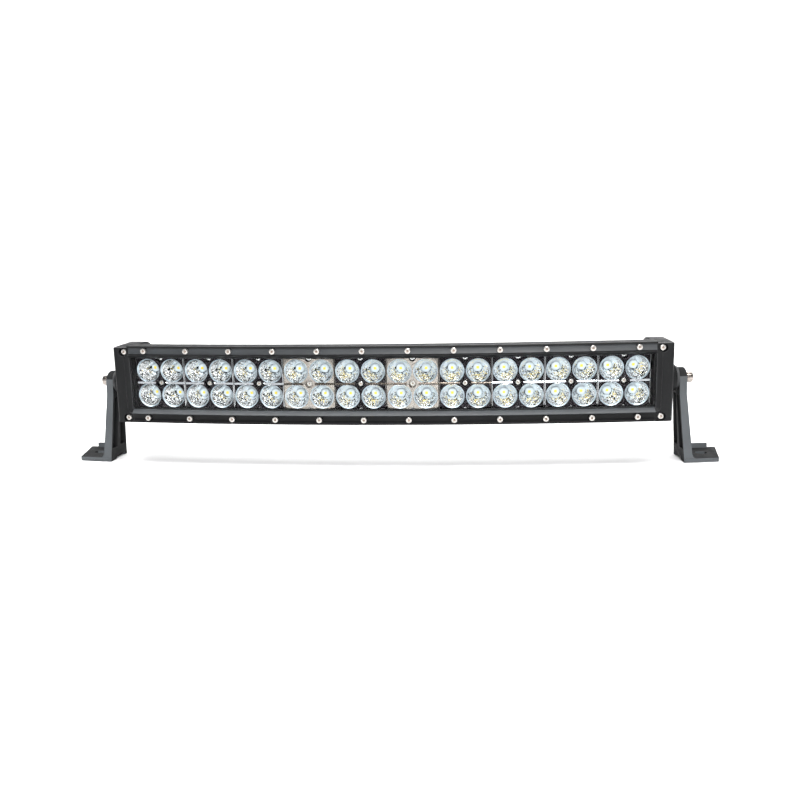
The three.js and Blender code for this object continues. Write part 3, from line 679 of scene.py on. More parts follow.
def housing_half():
    """Half of the finned section, from the board seat round the outside to the rearmost fin."""
    points = [
        (BOARD_SEAT, TROUGH_HALF),
        (LENS_SEAT, TROUGH_HALF),
        (LENS_SEAT, LENS_RECESS_HALF),
        (FLANGE_FRONT, LENS_RECESS_HALF),
        (FLANGE_FRONT, SCREW_ROW - SCREW_HOLE_R),
        (FLANGE_HOLE_BACK, SCREW_ROW - SCREW_HOLE_R),
        (FLANGE_HOLE_BACK, SCREW_ROW + SCREW_HOLE_R),
        (FLANGE_FRONT, SCREW_ROW + SCREW_HOLE_R),
        (FLANGE_FRONT, FLANGE_HALF, 0.5),
        (FLANGE_BACK, FLANGE_HALF, 1.2),
        (FLANGE_SHOULDER, FLANGE_HALF - FLANGE_TAPER, 1.5),
        (FLANGE_ROOT, BODY_HALF, 1),
    ]
    rib = FLANGE_BACK + 2 * FIN_PITCH
    while rib < BODY_BACK - FIN_PITCH:
        top = BODY_HALF + RIB_HEIGHT
        end = rib + RIB_WIDTH
        points += [(rib, BODY_HALF, 0.5), (rib, top, 0.8), (end, top, 0.8), (end, BODY_HALF, 0.5)]
        rib += FIN_PITCH
    points += [(BODY_BACK - BODY_CHAMFER, BODY_HALF, 1), (BODY_BACK, BODY_HALF - BODY_CHAMFER, 1)]
    for row in range(FIN_ROWS, 0, -1):
        h = row * FIN_PITCH
        tip = FIN_TIPS - FIN_SAG * h * h
        points += [(BODY_BACK, h + FIN_HALF, 0.8), (tip, h + FIN_HALF, 0.9)]
        points += [(tip, h - FIN_HALF, 0.9), (BODY_BACK, h - FIN_HALF, 0.8)]
    points += [(BODY_BACK, FIN_HALF, 0.8), (FIN_TIPS, FIN_HALF, 0.9)]
    return points


def make_housing():
    """The finned extrusion with its driver chamber, ports and room for the rear fittings."""
    section = rounded(mirrored(housing_half()), 0.25, 2)
    bar = sweep(section, -BODY_END, BODY_END)
    chamber_half = [(SPREADER_BACK, CHAMBER_HALF), (CHAMBER_BACK, CHAMBER_HALF)]
    chamber = sweep(mirrored(chamber_half), -BODY_END - OVER, BODY_END + OVER, 24)
    cutters = [chamber]
    for side in (-1, 1):
        for radius, start, end in (
            (FITTING_CLEARANCE_R, FITTING_SEAT - GAP, FIN_TIPS + OVER),
            (PORT_R, CHAMBER_BACK - OVER, BODY_BACK + OVER),
        ):
            cutters.append(moved_to(turned([(radius, start), (radius, end)], "y"), side * FITTING_S))
    return cut(bar, *cutters)


def make_strip(side):
    """The rail that clamps one long edge of the lens: a channel for the screws, a bevel to the window."""
    top, low = STRIP_CHANNEL
    section = [
        (STRIP_RIDGE, FLANGE_HALF, 0.6),
        (STRIP_RIDGE, top, 0.4),
        (STRIP_FACE + CHANNEL_SLANT, top, 0.35),
        (STRIP_FACE - CHANNEL_SLANT / 2, low, 0.35),
        (STRIP_RIDGE, STRIP_LIP, 0.5),
        (STRIP_BACK - 1, WINDOW_HALF, 0.4),
        (STRIP_BACK, WINDOW_HALF, 0.2),
        (STRIP_BACK, FLANGE_HALF, 0.3),
    ]
    strip = sweep(rounded([(d, side * h, radius) for d, h, radius in section], 0), -BODY_END, BODY_END)
    hole = [(SCREW_HOLE_R, 0), (SCREW_HOLE_R, STRIP_BACK + OVER)]
    drills = [moved_to(turned(hole, "y", (0, side * SCREW_ROW), 16), s) for s in SCREW_STATIONS]
    strip = cut(strip, joined(drills))
    # Faces turned up into the light get the lighter copy of the coat: painted light.
    for face in strip.faces:
        face.material_index = 1 if painted_light_face(face.calc_center_median(), side) else 0
    return strip


def painted_light_face(point, side):
    """The top strip's channel floor and the bottom strip's bevel, which face up into the light, get a
    lighter copy of the coat: painted light.
    """
    d = BOW_RADIUS - math.hypot(point.x, FRONT_Y + BOW_RADIUS - point.y)
    h = abs(point.z - BAR_HEIGHT)
    if side > 0:
        top, low = STRIP_CHANNEL
        return abs(d - STRIP_FACE) < CHANNEL_SLANT and low < h < top
    return STRIP_RIDGE + 0.3 < d < STRIP_BACK - 0.8 and h < STRIP_LIP


def stations_of(prefix):
    """Where the numbered CAD nodes of one name sit along the bar."""
    stations = []
    for i in range(sum(name.startswith(prefix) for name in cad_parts)):
        low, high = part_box(f"{prefix}{i + 1}")
        middle = (low + high) / 2 / MM
        stations.append(BOW_RADIUS * math.atan2(middle.x, FRONT_Y + BOW_RADIUS - middle.y))
    return stations


SCREW_STATIONS = stations_of("strip_screw_top_")
MODULE_STATIONS = stations_of("reflector_")

piece("housing_shell", make_housing(), [BLACK_COAT], slot="black_coat", replaces=["housing"])
for row, side in ROWS:
    name = f"strip_{row}"
    piece(f"{name}_rail", make_strip(side), [BLACK_COAT, STRIP_PAINTED_LIGHT], slot="black_coat", replaces=[name])

lens_back = FLANGE_FRONT + LENS_THICKNESS
lens_section = rounded(mirrored([(lens_back, LENS_HALF), (FLANGE_FRONT, LENS_HALF)]), 0.4)
lens = sweep(lens_section, -LENS_END, LENS_END, 2 * BOW_STEPS)
piece("lens_cover", lens, [LENS_CLEAR], slot="clear_lens", replaces=["lens"])


# --- reflectors and emitters


def cup_cutter(x, z, turn):
    """One cup: a bevelled mouth, a dished and dimpled wall, and a hole for the emitter."""
    start = LENS_SEAT + CUP_LIP
    depth = MODULE_BACK - start
    inner = CUP_MOUTH_R - CUP_LIP
    rings = [(CUP_MOUTH_R + OVER, LENS_SEAT - OVER), (CUP_MOUTH_R, LENS_SEAT), (inner, start)]
    for i in range(1, CUP_RINGS + 1):
        t = i / CUP_RINGS
        radius = math.sqrt(inner ** 2 + (CUP_FLOOR_R ** 2 - inner ** 2) * t)
        rings.append((radius, start + depth * t * 0.985))
    rings.append((CUP_FLOOR_R, MODULE_BACK + OVER))
    cutter = turned(rings, "y", (x, z), CUP_SIDES, turn=turn)
    centre = Vector((x, 0, z))
    spin = Matrix.Rotation(math.radians(turn), 3, "Y")
    for vert in cutter.verts:
        if start + 0.3 < vert.co.y < MODULE_BACK - OVER:
            spoke = Vector((vert.co.x, 0, vert.co.z)) - centre
            bump = noise.noise(spin @ (vert.co - centre) * CUP_BUMPS)
            vert.co += spoke.normalized() * bump * CUP_BUMP_HEIGHT
    return cutter


def make_module():
    """A block of two by two cups with a screw's counterbore, a groove between the rows and edge notches."""
    half, tall = MODULE_HALF_WIDTH, MODULE_HALF_HEIGHT
    body = softened(block((-half, half), (LENS_SEAT, MODULE_BACK), (-tall, tall)), 0.35)
    offsets = (-CUP_PITCH / 2, CUP_PITCH / 2)
    centres = [(x, z) for x in offsets for z in offsets]
    cups = [cup_cutter(x, z, 90 * i + 17) for i, (x, z) in enumerate(centres)]
    front = LENS_SEAT - OVER
    groove_outline = [(front, -GROOVE_HALF), (LENS_SEAT + GROOVE_DEPTH, 0), (front, GROOVE_HALF)]
    spans = ((-half - OVER, -GROOVE_START), (GROOVE_START, half + OVER))
    grooves = [prism(groove_outline, "x", *span) for span in spans]
    counterbore = [(4.4, front), (3.9, LENS_SEAT + 0.1), (3.3, LENS_SEAT + 0.8), (3.1, LENS_SEAT + 3.4)]
    bores = [turned(counterbore, "y")]
    notch = [(1, front), (0.75, LENS_SEAT + 0.1), (0.6, LENS_SEAT + 1.1), (0.5, LENS_SEAT + 3)]
    for side, radius in NOTCHES:
        bores.append(turned([(radius * share, y) for share, y in notch], "y", (0, side * tall)))
    return cut(body, joined(cups), joined(grooves), joined(bores))


# The finishes of a module, in the order of its materials.
CUP_TOP, FLAT_FACE, GROOVE, CUP_LOW, CUP_RIM = range(5)


def finish_of(face):
    """The finish of a module's face: sides and counterbore as the front, notches as low in a cup."""
    middle = face.calc_center_median()
    above = middle.z - math.copysign(CUP_PITCH / 2, middle.z)
    across = math.hypot(abs(middle.x) - CUP_PITCH / 2, above)
    flat = face.normal.y < -0.995 and middle.y < LENS_SEAT + 0.05
    side = abs(face.normal.x) > 0.9 and abs(middle.x) > MODULE_HALF_WIDTH - 0.2
    counterbore = math.hypot(middle.x, middle.z) < 4.6
    notch_r = NOTCHES[1][1] + 0.2
    notch = abs(middle.z) > MODULE_HALF_HEIGHT - notch_r and abs(middle.x) < notch_r
    groove = abs(middle.z) < GROOVE_HALF - 0.65 and middle.y < LENS_SEAT + GROOVE_DEPTH + 0.05
    if flat or side or counterbore:
        return FLAT_FACE
    if notch:
        return CUP_LOW
    if groove or across > CUP_MOUTH_R + GAP:
        return GROOVE
    if across > CUP_RIM_R:
        return CUP_RIM
    return CUP_LOW if above < PAINTED_REFLECTIONS_TOP else CUP_TOP


module = make_module()
for face in module.faces:
    face.material_index = finish_of(face)
module = metres(module, "reflector_cups", 28)
for i, s in enumerate(MODULE_STATIONS, start=1):
    finishes = [CHROME, FACE_DARK, CHROME_SMOOTH, CHROME_PAINTED_REFLECTIONS, CHROME_RIM]
    # Lighter faces and duller grooves on these modules are painted reflection, not a turn of the module.
    if i in PAINTED_REFLECTION_MODULES:
        finishes[FLAT_FACE] = FACE_PAINTED_REFLECTION
    if i in PAINTED_REFLECTION_MODULES + PAINTED_DULL_GROOVES:
        finishes[GROOVE] = FACE_PAINTED_REFLECTION
    name = f"reflector_{i}"
    placed(f"reflector_cups_{i}", module.copy(), finishes, BAR, station(s), [name])


def hex_socket(radius, start, end):
    """The cutter for a hexagon socket with a conical bottom."""
    return turned([(radius, start), (radius, end), (radius * 0.2, end + radius * 0.4)], "y", sides=6)


def make_screw(front, head=SCREW_HEAD_R, height=SCREW_HEAD_H, socket=SCREW_SOCKET_R, shank=SCREW_SHANK_L):
    """A socket-head screw along y."""
    back = front + height
    end = back + shank
    profile = [
        (head - 0.45, front), (head - 0.12, front + 0.12), (head, front + 0.45), (head, back - 0.15),
        (head - 0.15, back), (SCREW_SHANK_R, back), (SCREW_SHANK_R, end - 0.5), (SCREW_SHANK_R - 0.5, end),
    ]
    screw = cut(turned(profile, "y"), hex_socket(socket, front - OVER, front + height * 0.55))
    # The faces inside the socket get the darker steel: painted shade.
    for face in screw.faces:
        middle = face.calc_center_median()
        inside = math.hypot(middle.x, middle.z) < socket and middle.y > front + 0.1
        face.material_index = 1 if inside and middle.y < back else 0
    return screw


STEEL = [STAINLESS, SOCKET_PAINTED_SHADE]
screw = metres(make_screw(STRIP_SCREW_FRONT), "screw")
for row, side in ROWS:
    for i, s in enumerate(SCREW_STATIONS, start=1):
        node = f"strip_screw_{row}_{i}"
        turn = 0 if node == "strip_screw_top_1" else 47 * i + 13 * side
        place = moved(station(s), 0, 0, side * SCREW_ROW, turn)
        placed(f"strip_screw_head_{row}_{i}", screw, STEEL, BAR, place, [node])

module_screw = make_screw(LENS_SEAT + MODULE_SCREW_SEAT, MODULE_SCREW_HEAD_R, 2, 1.1, SHORT_SHANK)
module_screw = metres(module_screw, "module_screw")
for i, s in enumerate(MODULE_STATIONS, start=1):
    placed(f"module_screw_{i}", module_screw, STEEL, BAR, station(s))


def make_emitter():
    """A round white base with a square chip package and its yellow phosphor."""
    front = EMITTER_FRONT
    base = turned([(EMITTER_R, MODULE_BACK), (EMITTER_R, front + 0.25), (EMITTER_R - 0.25, front)], "y")
    size = EMITTER_CHIP
    outer = size + EMITTER_RIM
    package = softened(block((-outer, outer), (front - 0.45, front - 0.01), (-outer, outer)), 0.12)
    chip = softened(block((-size, size), (front - 0.7, front - 0.46), (-size, size)), 0.1)
    for face in chip.faces:
        face.material_index = 1
    return joined([base, package, chip])


emitter = metres(make_emitter(), "emitter")
for i, s in enumerate(MODULE_STATIONS, start=1):
    for j, (x, z) in enumerate([(x, z) for x in (-1, 1) for z in (-1, 1)], start=1):
        place = moved(station(s), x * CUP_PITCH / 2, 0, z * CUP_PITCH / 2)
        placed(f"emitter_{i}_{j}", emitter, [EMITTER_WHITE, PHOSPHOR], BAR, place)

board_back = BOARD_SEAT - GAP
board_half = [(board_back - BOARD_THICKNESS, MODULE_HALF_HEIGHT), (board_back, MODULE_HALF_HEIGHT)]
for hand, side in HANDS:
    section = rounded(mirrored(board_half), 0.2, 2)
    ends = sorted((side * GAP, side * BOARD_END))
    board = sweep(section, *ends, BOW_STEPS // 2)
    name = f"led_board_{hand}"
    piece(f"{name}_panel", board, [BOARD_WHITE], slot="board", replaces=[name])


# --- end frames and end castings


def window_outline(x, half, radius):
    """The window's end seen from the front, with rounded corners."""
    corners = [(-2, -half, 0), (x, -half, radius), (x, half, radius), (-2, half, 0)]
    return [(px, pz + END_DROP) for px, pz in rounded(corners, 0, 6)]


def make_end_frame():
    """The frame beside the window, with its end of the window, the lens's pocket and two screw holes."""
    plan = [(0, FRAME_FRONT), (END_WIDTH, FRAME_FRONT, 4), (END_WIDTH, FRAME_BACK), (0, FRAME_BACK)]
    casting = softened(prism(rounded(plan, 0.4, 6), "z", -END_HALF, END_HALF), 0.5)
    lip = window_outline(WINDOW_LIP_X, STRIP_LIP, 3.5)
    foot = window_outline(WINDOW_FOOT_X, WINDOW_HALF, 1)
    levels = ((lip, FRAME_FRONT - OVER), (lip, WINDOW_LIP_DEPTH), (foot, STRIP_BACK + GAP))
    window = skin([[(x, y, z) for x, z in outline] for outline, y in levels])
    height = (END_DROP - LENS_RECESS_HALF, END_DROP + LENS_RECESS_HALF)
    pocket = block((-OVER, LENS_END - FRAME_START + GAP), (STRIP_BACK, FRAME_BACK + OVER), height)
    floor = CORNER_SCREW_FRONT + SCREW_HEAD_H + GAP
    hole = [
        (CORNER_POCKET_R + 0.9, FRAME_FRONT - 0.5),
        (CORNER_POCKET_R, FRAME_FRONT + 0.4),
        (CORNER_POCKET_R, floor),
        (SCREW_HOLE_R, floor),
        (SCREW_HOLE_R, FRAME_BACK + OVER),
    ]
    drills = [turned(hole, "y", (CORNER_SCREW_X, up * CORNER_SCREW_ROW)) for up in (-1, 1)]
    return cut(casting, window, pocket, joined(drills))


def cap_side(x0, x1):
    """The end casting seen from the bar's end: square in front, round at the rear."""
    half = [*arc(CAP_BACK - CAP_TOP_R, END_HALF - CAP_TOP_R, CAP_TOP_R, 0, 90, 14), (LENS_SEAT, END_HALF)]
    return prism(mirrored(half), "x", x0, x1)


def make_cap():
    """The hollow end casting, with a round boss for the bracket's bolt."""
    x0 = CAP_START - FRAME_START
    centre = (END_WIDTH - CAP_CORNER_R, CAP_BACK - CAP_CORNER_R)
    pivot = (PIVOT_DEPTH, 0)
    plan = [(x0, LENS_SEAT), (END_WIDTH, LENS_SEAT), *arc(*centre, CAP_CORNER_R, 0, 70, 12), (x0, CAP_BACK)]
    casting = prism(plan, "z", -END_HALF - OVER, END_HALF + OVER)
    casting = softened(common(casting, cap_side(x0 - OVER, END_WIDTH + OVER)), 0.8, 40)
    rise = END_WIDTH + BOSS_HEIGHT
    base = END_WIDTH
    boss = [(BOSS_R, base - OVER), (BOSS_R, rise - 1.6), (BOSS_R - 0.5, rise - 0.5), (BOSS_R - 1.6, rise)]
    root = [(1.8, -0.5), (1.8, 0.1), (0.6, 0.5), (-0.2, 1.6)]  # wider than the boss, and out from its base
    root = [(BOSS_R + wider, base + out) for wider, out in root]
    casting = united(casting, *(turned(profile, "x", pivot, 64) for profile in (boss, root)))
    cavity_half = CHAMBER_HALF + 2
    cavity_plan = [
        (x0 - OVER, CAP_CAVITY_FRONT),
        (END_WIDTH - CAP_WALL, CAP_CAVITY_FRONT),
        *arc(*centre, CAP_CORNER_R - CAP_WALL, 0, 60, 6),
        (x0 - OVER, CAP_BACK - CAP_WALL),
    ]
    cavity = prism(cavity_plan, "z", -cavity_half, cavity_half)
    cavity = cut(cavity, turned([(BOSS_CORE_R, x0 - 2 * OVER), (BOSS_CORE_R, END_WIDTH)], "x", pivot))
    bore = turned([(BOLT_HOLE_R, rise - BOLT_REACH - 1), (BOLT_HOLE_R, rise + OVER)], "x", pivot)
    depth = CORNER_SCREW_FRONT + SCREW_HEAD_H + SCREW_SHANK_L + 1
    hole = [(SCREW_HOLE_R, LENS_SEAT - OVER), (SCREW_HOLE_R, depth)]
    pocket = [
        (SIDE_POCKET_R, END_WIDTH - SIDE_POCKET_DEPTH),
        (SIDE_POCKET_R, END_WIDTH - 0.3),
        (SIDE_POCKET_R + 1, END_WIDTH + 0.7),
    ]
    drills = [turned(hole, "y", (CORNER_SCREW_X, up * CORNER_SCREW_ROW), 16) for up in (-1, 1)]
    drills += [turned(pocket, "x", (SIDE_SCREW_DEPTH, up * SIDE_SCREW_HEIGHT)) for up in (-1, 1)]
    return cut(casting, cavity, bore, joined(drills))


def side_screw():
    """A socket-head screw that runs along x into the end of the housing."""
    screw = spun(make_screw(0, height=SIDE_SCREW_HEAD_H, shank=SHORT_SHANK), 90, "Z")
    seat = (END_WIDTH - SIDE_POCKET_DEPTH + SIDE_SCREW_HEAD_H, SIDE_SCREW_DEPTH, 0)
    bmesh.ops.translate(screw, vec=seat, verts=screw.verts)
    return screw


for hand, side in HANDS:
    place = station(side * FRAME_START, END_HEIGHT)
    where = {"place": place, "side": side}
    for name, make in (("end_frame", make_end_frame), ("end_cap", make_cap)):
        piece(
            f"{name}_{hand}_casting", make(), [BLACK_COAT],
            slot="black_coat", replaces=[f"{name}_{hand}"], baked=True, **where,
        )
    for row, up in ROWS:
        z = up * CORNER_SCREW_ROW
        spot = moved(place, side * CORNER_SCREW_X, CORNER_SCREW_FRONT, z, 31 * up + 20 * side)
        node = f"corner_screw_{row}_{hand}"
        placed(f"corner_screw_head_{row}_{hand}", screw, STEEL, BAR, spot, [node])
        spot = moved(place, 0, 0, up * SIDE_SCREW_HEIGHT)
        piece(f"side_screw_{row}_{hand}", side_screw(), STEEL, place=spot, side=side, slot="stainless")


# --- brackets and pivots


def upright_front(toe, foot_top):
    """The upright seen from the front: square at its head, then leaning out to a filleted foot."""
    outer = UPRIGHT_LEAN + UPRIGHT_FOOT_THICKNESS
    slope = UPRIGHT_LEAN / (UPRIGHT_KNEE - GROUND)
    return [
        (0, UPRIGHT_KNEE),
        (UPRIGHT_LEAN, GROUND),
        (toe, GROUND),
        *arc(toe, foot_top + FOOT_FILLET, FOOT_FILLET, 270, 180, 6),
        (outer - slope * FOOT_FILLET, foot_top + FOOT_FILLET),
        (UPRIGHT_THICKNESS, UPRIGHT_KNEE),
        (UPRIGHT_THICKNESS, UPRIGHT_TOP_R + OVER),
        (0, UPRIGHT_TOP_R + OVER),
    ]


def upright_recess():
    """The two pockets in the inner face, either side of a rib."""
    floor = GROUND + RECESS_FLOOR
    middle = (UPRIGHT_FRONT + UPRIGHT_REAR) / 2
    head = UPRIGHT_TOP_R - UPRIGHT_WALL
    deepest = UPRIGHT_LEAN + RECESS_DEPTH
    pockets = []
    for side in (-1, 1):
        edge = UPRIGHT_REAR - UPRIGHT_WALL if side > 0 else UPRIGHT_FRONT + UPRIGHT_WALL
        outline = [
            (middle + side * RECESS_RIB / 2, floor),
            (edge, floor),
            (PIVOT_DEPTH + side * head, RECESS_TOP),
            (PIVOT_DEPTH + side * RECESS_RIB / 4, RECESS_TOP),
        ]
        pockets.append(prism(rounded(outline, 1.2, 4), "x", -2 * OVER, deepest + OVER))
    leaning = [(-OVER, UPRIGHT_KNEE), (-OVER, GROUND), (deepest, GROUND), (RECESS_DEPTH, UPRIGHT_KNEE)]
    return common(joined(pockets), prism(leaning, "y", 0, UPRIGHT_REAR))


def make_bracket():
    """The cast bracket: an upright, round over its bolt and hollow inside, on a slotted, ribbed foot."""
    toe = UPRIGHT_LEAN + UPRIGHT_FOOT_THICKNESS + FOOT_FILLET
    foot_top = GROUND + FOOT_THICKNESS
    head = arc(PIVOT_DEPTH, 0, UPRIGHT_TOP_R, 4, 176, 28)
    side_view = [(UPRIGHT_FRONT, GROUND), (UPRIGHT_REAR, GROUND), *head]
    upright = prism(upright_front(toe, foot_top), "y", 0, UPRIGHT_REAR + OVER)
    upright = common(upright, prism(side_view, "x", -OVER, toe + OVER))
    inner = UPRIGHT_LEAN + 1
    outer = UPRIGHT_LEAN + FOOT_LENGTH
    rear = UPRIGHT_FRONT + FOOT_DEPTH
    plan = [
        (inner, UPRIGHT_FRONT, 0),
        (toe + 1, UPRIGHT_FRONT, 0),
        (outer, UPRIGHT_FRONT + FOOT_SKEW, 1.2),
        (outer + FOOT_FLARE, rear, 1.2),
        (toe - FOOT_FILLET - 1, rear, 0.8),
        (inner, UPRIGHT_REAR, 0),
    ]
    foot = prism(rounded(plan, 0, 5), "z", GROUND, foot_top)
    rib = block(
        (toe - FOOT_FILLET - 1, toe - FOOT_FILLET + FOOT_RIB_LENGTH),
        (rear - FOOT_RIB_THICKNESS, rear - GAP),
        (GROUND + GAP, foot_top + FOOT_RIB_HEIGHT),
    )
    bracket = united(upright, foot, rib)
    arch = prism([(y, GROUND + z) for y, z in ARCH], "x", -OVER, ARCH_DEPTH)
    bracket = softened(cut(bracket, arch), 0.6, 32)
    bore_profile = [(BOLT_HOLE_R, -OVER), (BOLT_HOLE_R, UPRIGHT_THICKNESS + OVER)]
    bore = turned(bore_profile, "x", (PIVOT_DEPTH, 0), 32)
    slot_x = (toe + outer) / 2
    slot_y = UPRIGHT_FRONT + FOOT_DEPTH / 2
    slot_outline = [
        *arc(slot_x + SLOT_REACH, slot_y, SLOT_R, -90, 90, 12),
        *arc(slot_x - SLOT_REACH, slot_y, SLOT_R, 90, 270, 12),
    ]
    slot_hole = prism(slot_outline, "z", GROUND - OVER, foot_top + OVER)
    bracket = cut(bracket, upright_recess(), bore, slot_hole, head_rounding())
    # Faces on the inner side, on top of the foot and its rib, over the head and in the pockets get the
    # darker copy of the coat: painted shade.
    for face in bracket.faces:
        middle = face.calc_center_median()
        inner_side = middle.z < UPRIGHT_TOP_R - 1 and face.normal.x < -0.7
        foot_upper = middle.z < foot_top + FOOT_RIB_HEIGHT + 1 and face.normal.z > 0.8
        head_top = middle.z > HEAD_SHADE and face.normal.z > 0.2
        face.material_index = 1 if inner_side or foot_upper or head_top or in_pocket(middle) else 0
    bmesh.ops.translate(bracket, vec=(BRACKET_X, 0, 0), verts=bracket.verts)
    return bracket


def in_pocket(point):
    """Whether a place on the upright is inside its pockets."""
    rise = 1 - point.z / GROUND
    front = UPRIGHT_FRONT + (PIVOT_DEPTH - UPRIGHT_TOP_R - UPRIGHT_FRONT) * rise
    rear = UPRIGHT_REAR + (PIVOT_DEPTH + UPRIGHT_TOP_R - UPRIGHT_REAR) * rise
    lean = max(UPRIGHT_LEAN * (UPRIGHT_KNEE - point.z) / (UPRIGHT_KNEE - GROUND), 0)
    inside = front + 1.4 < point.y < rear - 1.4 and 0.2 < point.x - lean < RECESS_DEPTH + 0.2
    return inside and GROUND + RECESS_FLOOR - 0.5 < point.z < RECESS_TOP + 0.5


def head_rounding():
    """The cutter that rounds the head's outer edge, most at the top and hardly at the sides."""
    rings = []
    for i in range(37):
        angle = math.radians(5 * i)
        radius = 0.05 + HEAD_ROUNDING * math.sin(angle) ** 2
        corner = arc(UPRIGHT_THICKNESS - radius, UPRIGHT_TOP_R - radius, radius, 90, 0, 8)
        x, r = UPRIGHT_THICKNESS + OVER, UPRIGHT_TOP_R + OVER
        outline = [*corner, (x, UPRIGHT_TOP_R - radius), (x, r), (UPRIGHT_THICKNESS - radius, r)]
        rings.append([(x, PIVOT_DEPTH + r * math.cos(angle), r * math.sin(angle)) for x, r in outline])
    return skin(rings)


def make_washer():
    """The nylon washer between the boss and the bracket."""
    start = BOSS_HEIGHT + GAP
    end = start + WASHER_THICKNESS
    profile = [
        (BOLT_HOLE_R, start), (WASHER_R - 0.4, start), (WASHER_R, start + 0.4),
        (WASHER_R, end - 0.4), (WASHER_R - 0.4, end), (BOLT_HOLE_R, end),
    ]
    return turned(profile, "x", (PIVOT_DEPTH, 0), 64, wrap=True)


def make_bolt():
    """An M6 socket-head bolt along x, round its own axis, with its split washer."""
    under = BRACKET_X + UPRIGHT_THICKNESS + GAP
    head = under + LOCK_WASHER_H
    top = head + BOLT_HEAD_H
    tip = BOSS_HEIGHT - BOLT_REACH
    washer_r, head_r = LOCK_WASHER_R, BOLT_HEAD_R
    profile = [
        (BOLT_R - 0.6, tip), (BOLT_R, tip + 0.6), (BOLT_R, under),
        (washer_r - 0.2, under), (washer_r, under + 0.2), (washer_r, head - 0.25),
        (washer_r - 0.5, head - 0.12), (washer_r - 0.5, head), (head_r - 0.25, head), (head_r, head + 0.25),
        (head_r, top - 0.9), (head_r - 0.25, top - 0.3), (head_r - 0.8, top),
    ]
    bolt = turned(profile, "x", sides=60)
    for vert in bolt.verts:
        spoke = Vector((0, vert.co.y, vert.co.z))
        knurled = head + 0.2 < vert.co.x < top - 0.8 and spoke.length > head_r - 0.1
        if knurled and round(math.atan2(spoke.z, spoke.y) / math.radians(6)) % 2:
            vert.co -= spoke.normalized() * KNURL_DEPTH
    wide = BOLT_SOCKET_R
    socket = turned([(wide * 0.2, top - 4.2), (wide, top - 3.2), (wide, top + OVER)], "x", sides=6)
    split = block((under - 0.01, head - 0.1), (BOLT_R + 0.1, LOCK_WASHER_R + 1), (-0.35, 0.35))
    return cut(bolt, socket, split)


for hand, side in HANDS:
    where = {"body": f"bracket_{hand}_arm", "place": station(side * END_FACE, END_HEIGHT), "side": side}
    piece(
        f"bracket_{hand}_casting", make_bracket(), [BRACKET_COAT, BRACKET_PAINTED_SHADE],
        slot="bracket_coat", replaces=[f"bracket_{hand}"], baked=True, **where,
    )
    piece(
        f"pivot_spacer_{hand}", make_washer(), [NYLON],
        slot="nylon", replaces=[f"pivot_washer_{hand}"], **where,
    )
    where["place"] = moved(where["place"], 0, PIVOT_DEPTH, 0)
    piece(
        f"pivot_screw_{hand}", make_bolt(), [STAINLESS_BOLT],
        slot="stainless", replaces=[f"pivot_bolt_{hand}"], **where,
    )


# --- rear fittings


def make_gland():
    """A cable gland: a hexagon, a fluted cap nut and an open end."""
    seat, end = FITTING_SEAT, GLAND_END
    hexagon = turned([(8.6, seat), (9, seat + 0.5), (9, seat + 4.6), (8.5, seat + 5.2)], "y", sides=6)
    nut_profile = [(7.2, seat + 4), (7.7, seat + 5.6), (7.7, end - 5), (5.4, end - 0.5), (4.8, end)]
    nut = turned(nut_profile, "y", sides=72)
    for vert in nut.verts:
        spoke = Vector((vert.co.x, 0, vert.co.z))
        if spoke.length > 7.4 and round(math.degrees(math.atan2(spoke.z, spoke.x)) / 5) % 3 == 0:
            vert.co -= spoke.normalized() * 0.45
    bore = [(GLAND_BORE_R, seat + 2), (GLAND_BORE_R, end - 0.6), (GLAND_BORE_R + 1, end + OVER)]
    return cut(united(hexagon, nut), turned(bore, "y"))


def make_breather():
    """A breather plug: a round cap with slots in its side and a dish for its membrane."""
    seat, end = FITTING_SEAT, BREATHER_END
    plug = turned([(7, seat), (7, end - 1.2), (6.6, end - 0.4), (5.8, end)], "y", sides=72)
    slot = (4.6, 8), (seat + 2.6, seat + 3.9), (-1.4, 1.4)
    slots = [spun(block(*slot), 60 * i, "Y") for i in range(6)]
    dish = turned([(4.2, end - 0.6), (4.6, end + 0.2)], "y")
    return cut(plug, joined(slots), dish)


for name, make, s, node in (
    ("cable_gland_body", make_gland, -FITTING_S, "cable_gland"),
    ("breather_cap", make_breather, FITTING_S, "breather"),
):
    piece(name, make(), [NYLON], place=station(s), slot="nylon", replaces=[node])
membrane = turned([(4, BREATHER_END - 0.59), (4, BREATHER_END - 0.4)], "y")
piece("breather_membrane", membrane, [MEMBRANE], place=station(FITTING_S), slot="nylon")

for node, material, slot_name in (
    ("lens_gasket", RUBBER, "seal_rubber"),
    ("end_gasket_left", RUBBER, "seal_rubber"),
    ("end_gasket_right", RUBBER, "seal_rubber"),
    ("driver_board", DRIVER_GREEN, "driver"),
):
    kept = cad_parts[node]
    for material_slot in kept.material_slots:
        material_slot.material = material


# --- studio


CAMERA_PLACE = (0.09395, -0.92238, 0.2602)
CAMERA_YAW, CAMERA_PITCH, CAMERA_ROLL = 0.0907, -0.2121, 0.0228
CAMERA_LENS = 42.85


def make_camera():
    """The camera stands a little right of the middle and above, and looks slightly down and left."""
    data = bpy.data.cameras.new("camera")
    data.lens = CAMERA_LENS
    data.sensor_width = 36
    data.clip_end = 20
    camera = linked("camera", data)
    turns = ((CAMERA_YAW, "Z"), (CAMERA_PITCH, "X"), (CAMERA_ROLL, "Y"))
    yaw, pitch, roll = (Matrix.Rotation(angle, 3, axis) for angle, axis in turns)
    right, forward, up = (yaw @ pitch @ roll).col
    turn = Matrix((right, up, -forward)).transposed().to_4x4()
    camera.matrix_world = Matrix.Translation(CAMERA_PLACE) @ turn
    bpy.context.scene.camera = camera


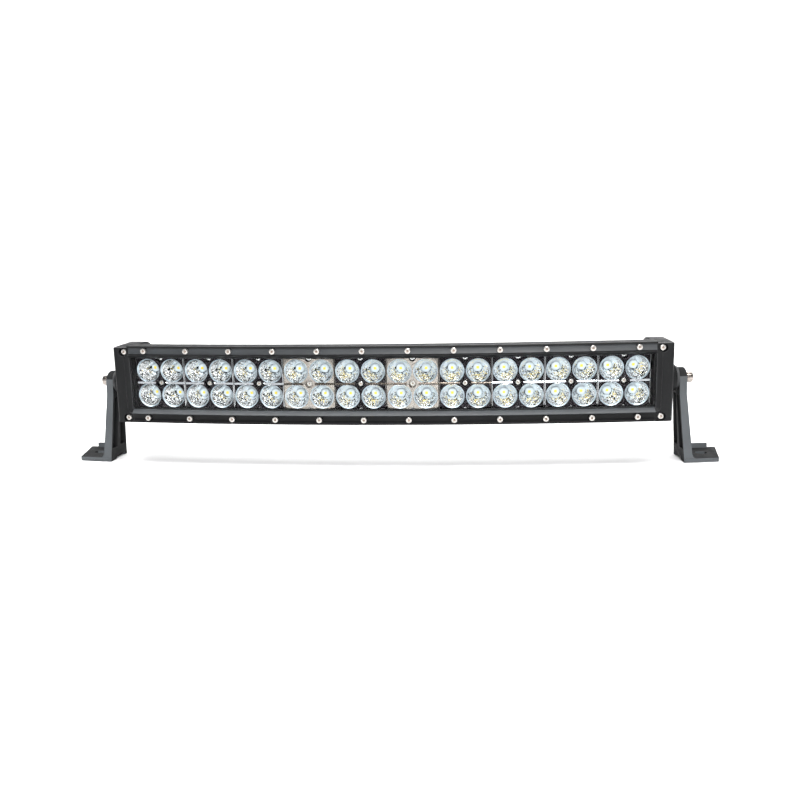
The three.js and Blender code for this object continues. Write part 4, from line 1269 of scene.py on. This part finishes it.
def make_floor():
    """A pale floor that curves up into a backdrop far behind the bar."""
    finish = Finish("studio_floor", 0.75)
    finish.colour(finish.mix((0.86, 0.86, 0.86), (0.9, 0.9, 0.9), finish.noise(3)))
    finish.bump(finish.noise(40), 0.0001)
    near, far, radius, height, half = -4, 2, 1, 4, 4
    level = -0.0003
    profile = [(near, level)] + arc(far, radius + level, radius, -90, 0, 16) + [(far + radius, height)]
    mesh = bpy.data.meshes.new("floor")
    verts = [(x, y, z) for y, z in profile for x in (-half, half)]
    faces = [(2 * i, 2 * i + 1, 2 * i + 3, 2 * i + 2) for i in range(len(profile) - 1)]
    mesh.from_pydata(verts, [], faces)
    for face in mesh.polygons:
        face.use_smooth = True
    mesh.materials.append(finish.material)
    linked("floor", mesh)


def softbox(name, place, target, size, power):
    """A rectangular lamp at a place, aimed at a target."""
    data = bpy.data.lights.new(name, "AREA")
    data.shape = "RECTANGLE"
    data.size, data.size_y = size
    data.energy = power
    light = linked(name, data)
    light.location = place
    light.rotation_mode = "QUATERNION"
    light.rotation_quaternion = (Vector(target) - Vector(place)).to_track_quat("-Z", "Y")


def make_world():
    """A pale horizon under a dark ceiling, so that bright metal has something dark to show."""
    world = bpy.data.worlds.new("studio")
    world.use_nodes = True
    bpy.context.scene.world = world
    tree = world.node_tree
    direction = add_node(tree, "TexCoord").outputs["Generated"]
    up = add_node(tree, "SeparateXYZ", Vector=direction).outputs["Z"]
    spread = add_node(tree, "MapRange", Value=up, From_Min=0.35, From_Max=0.6, To_Min=0.9, To_Max=0.02)
    spread.interpolation_type = "SMOOTHSTEP"
    background = tree.nodes["Background"]
    background.inputs["Color"].default_value = (0.98, 0.99, 1, 1)
    tree.links.new(spread.outputs["Result"], background.inputs["Strength"])


make_camera()
make_floor()
make_world()
softbox("key", (0, -0.5, 1.7), (0, 0, 0.08), (2.6, 0.6), 60)
softbox("front", (0.3, -2.0, 1.0), (0, 0, 0.08), (0.9, 0.4), 40)
softbox("back", (0.2, 1.2, 2.0), (0, 1.6, 0.3), (2.6, 1.0), 60)
bpy.context.scene.view_settings.view_transform = "Standard"
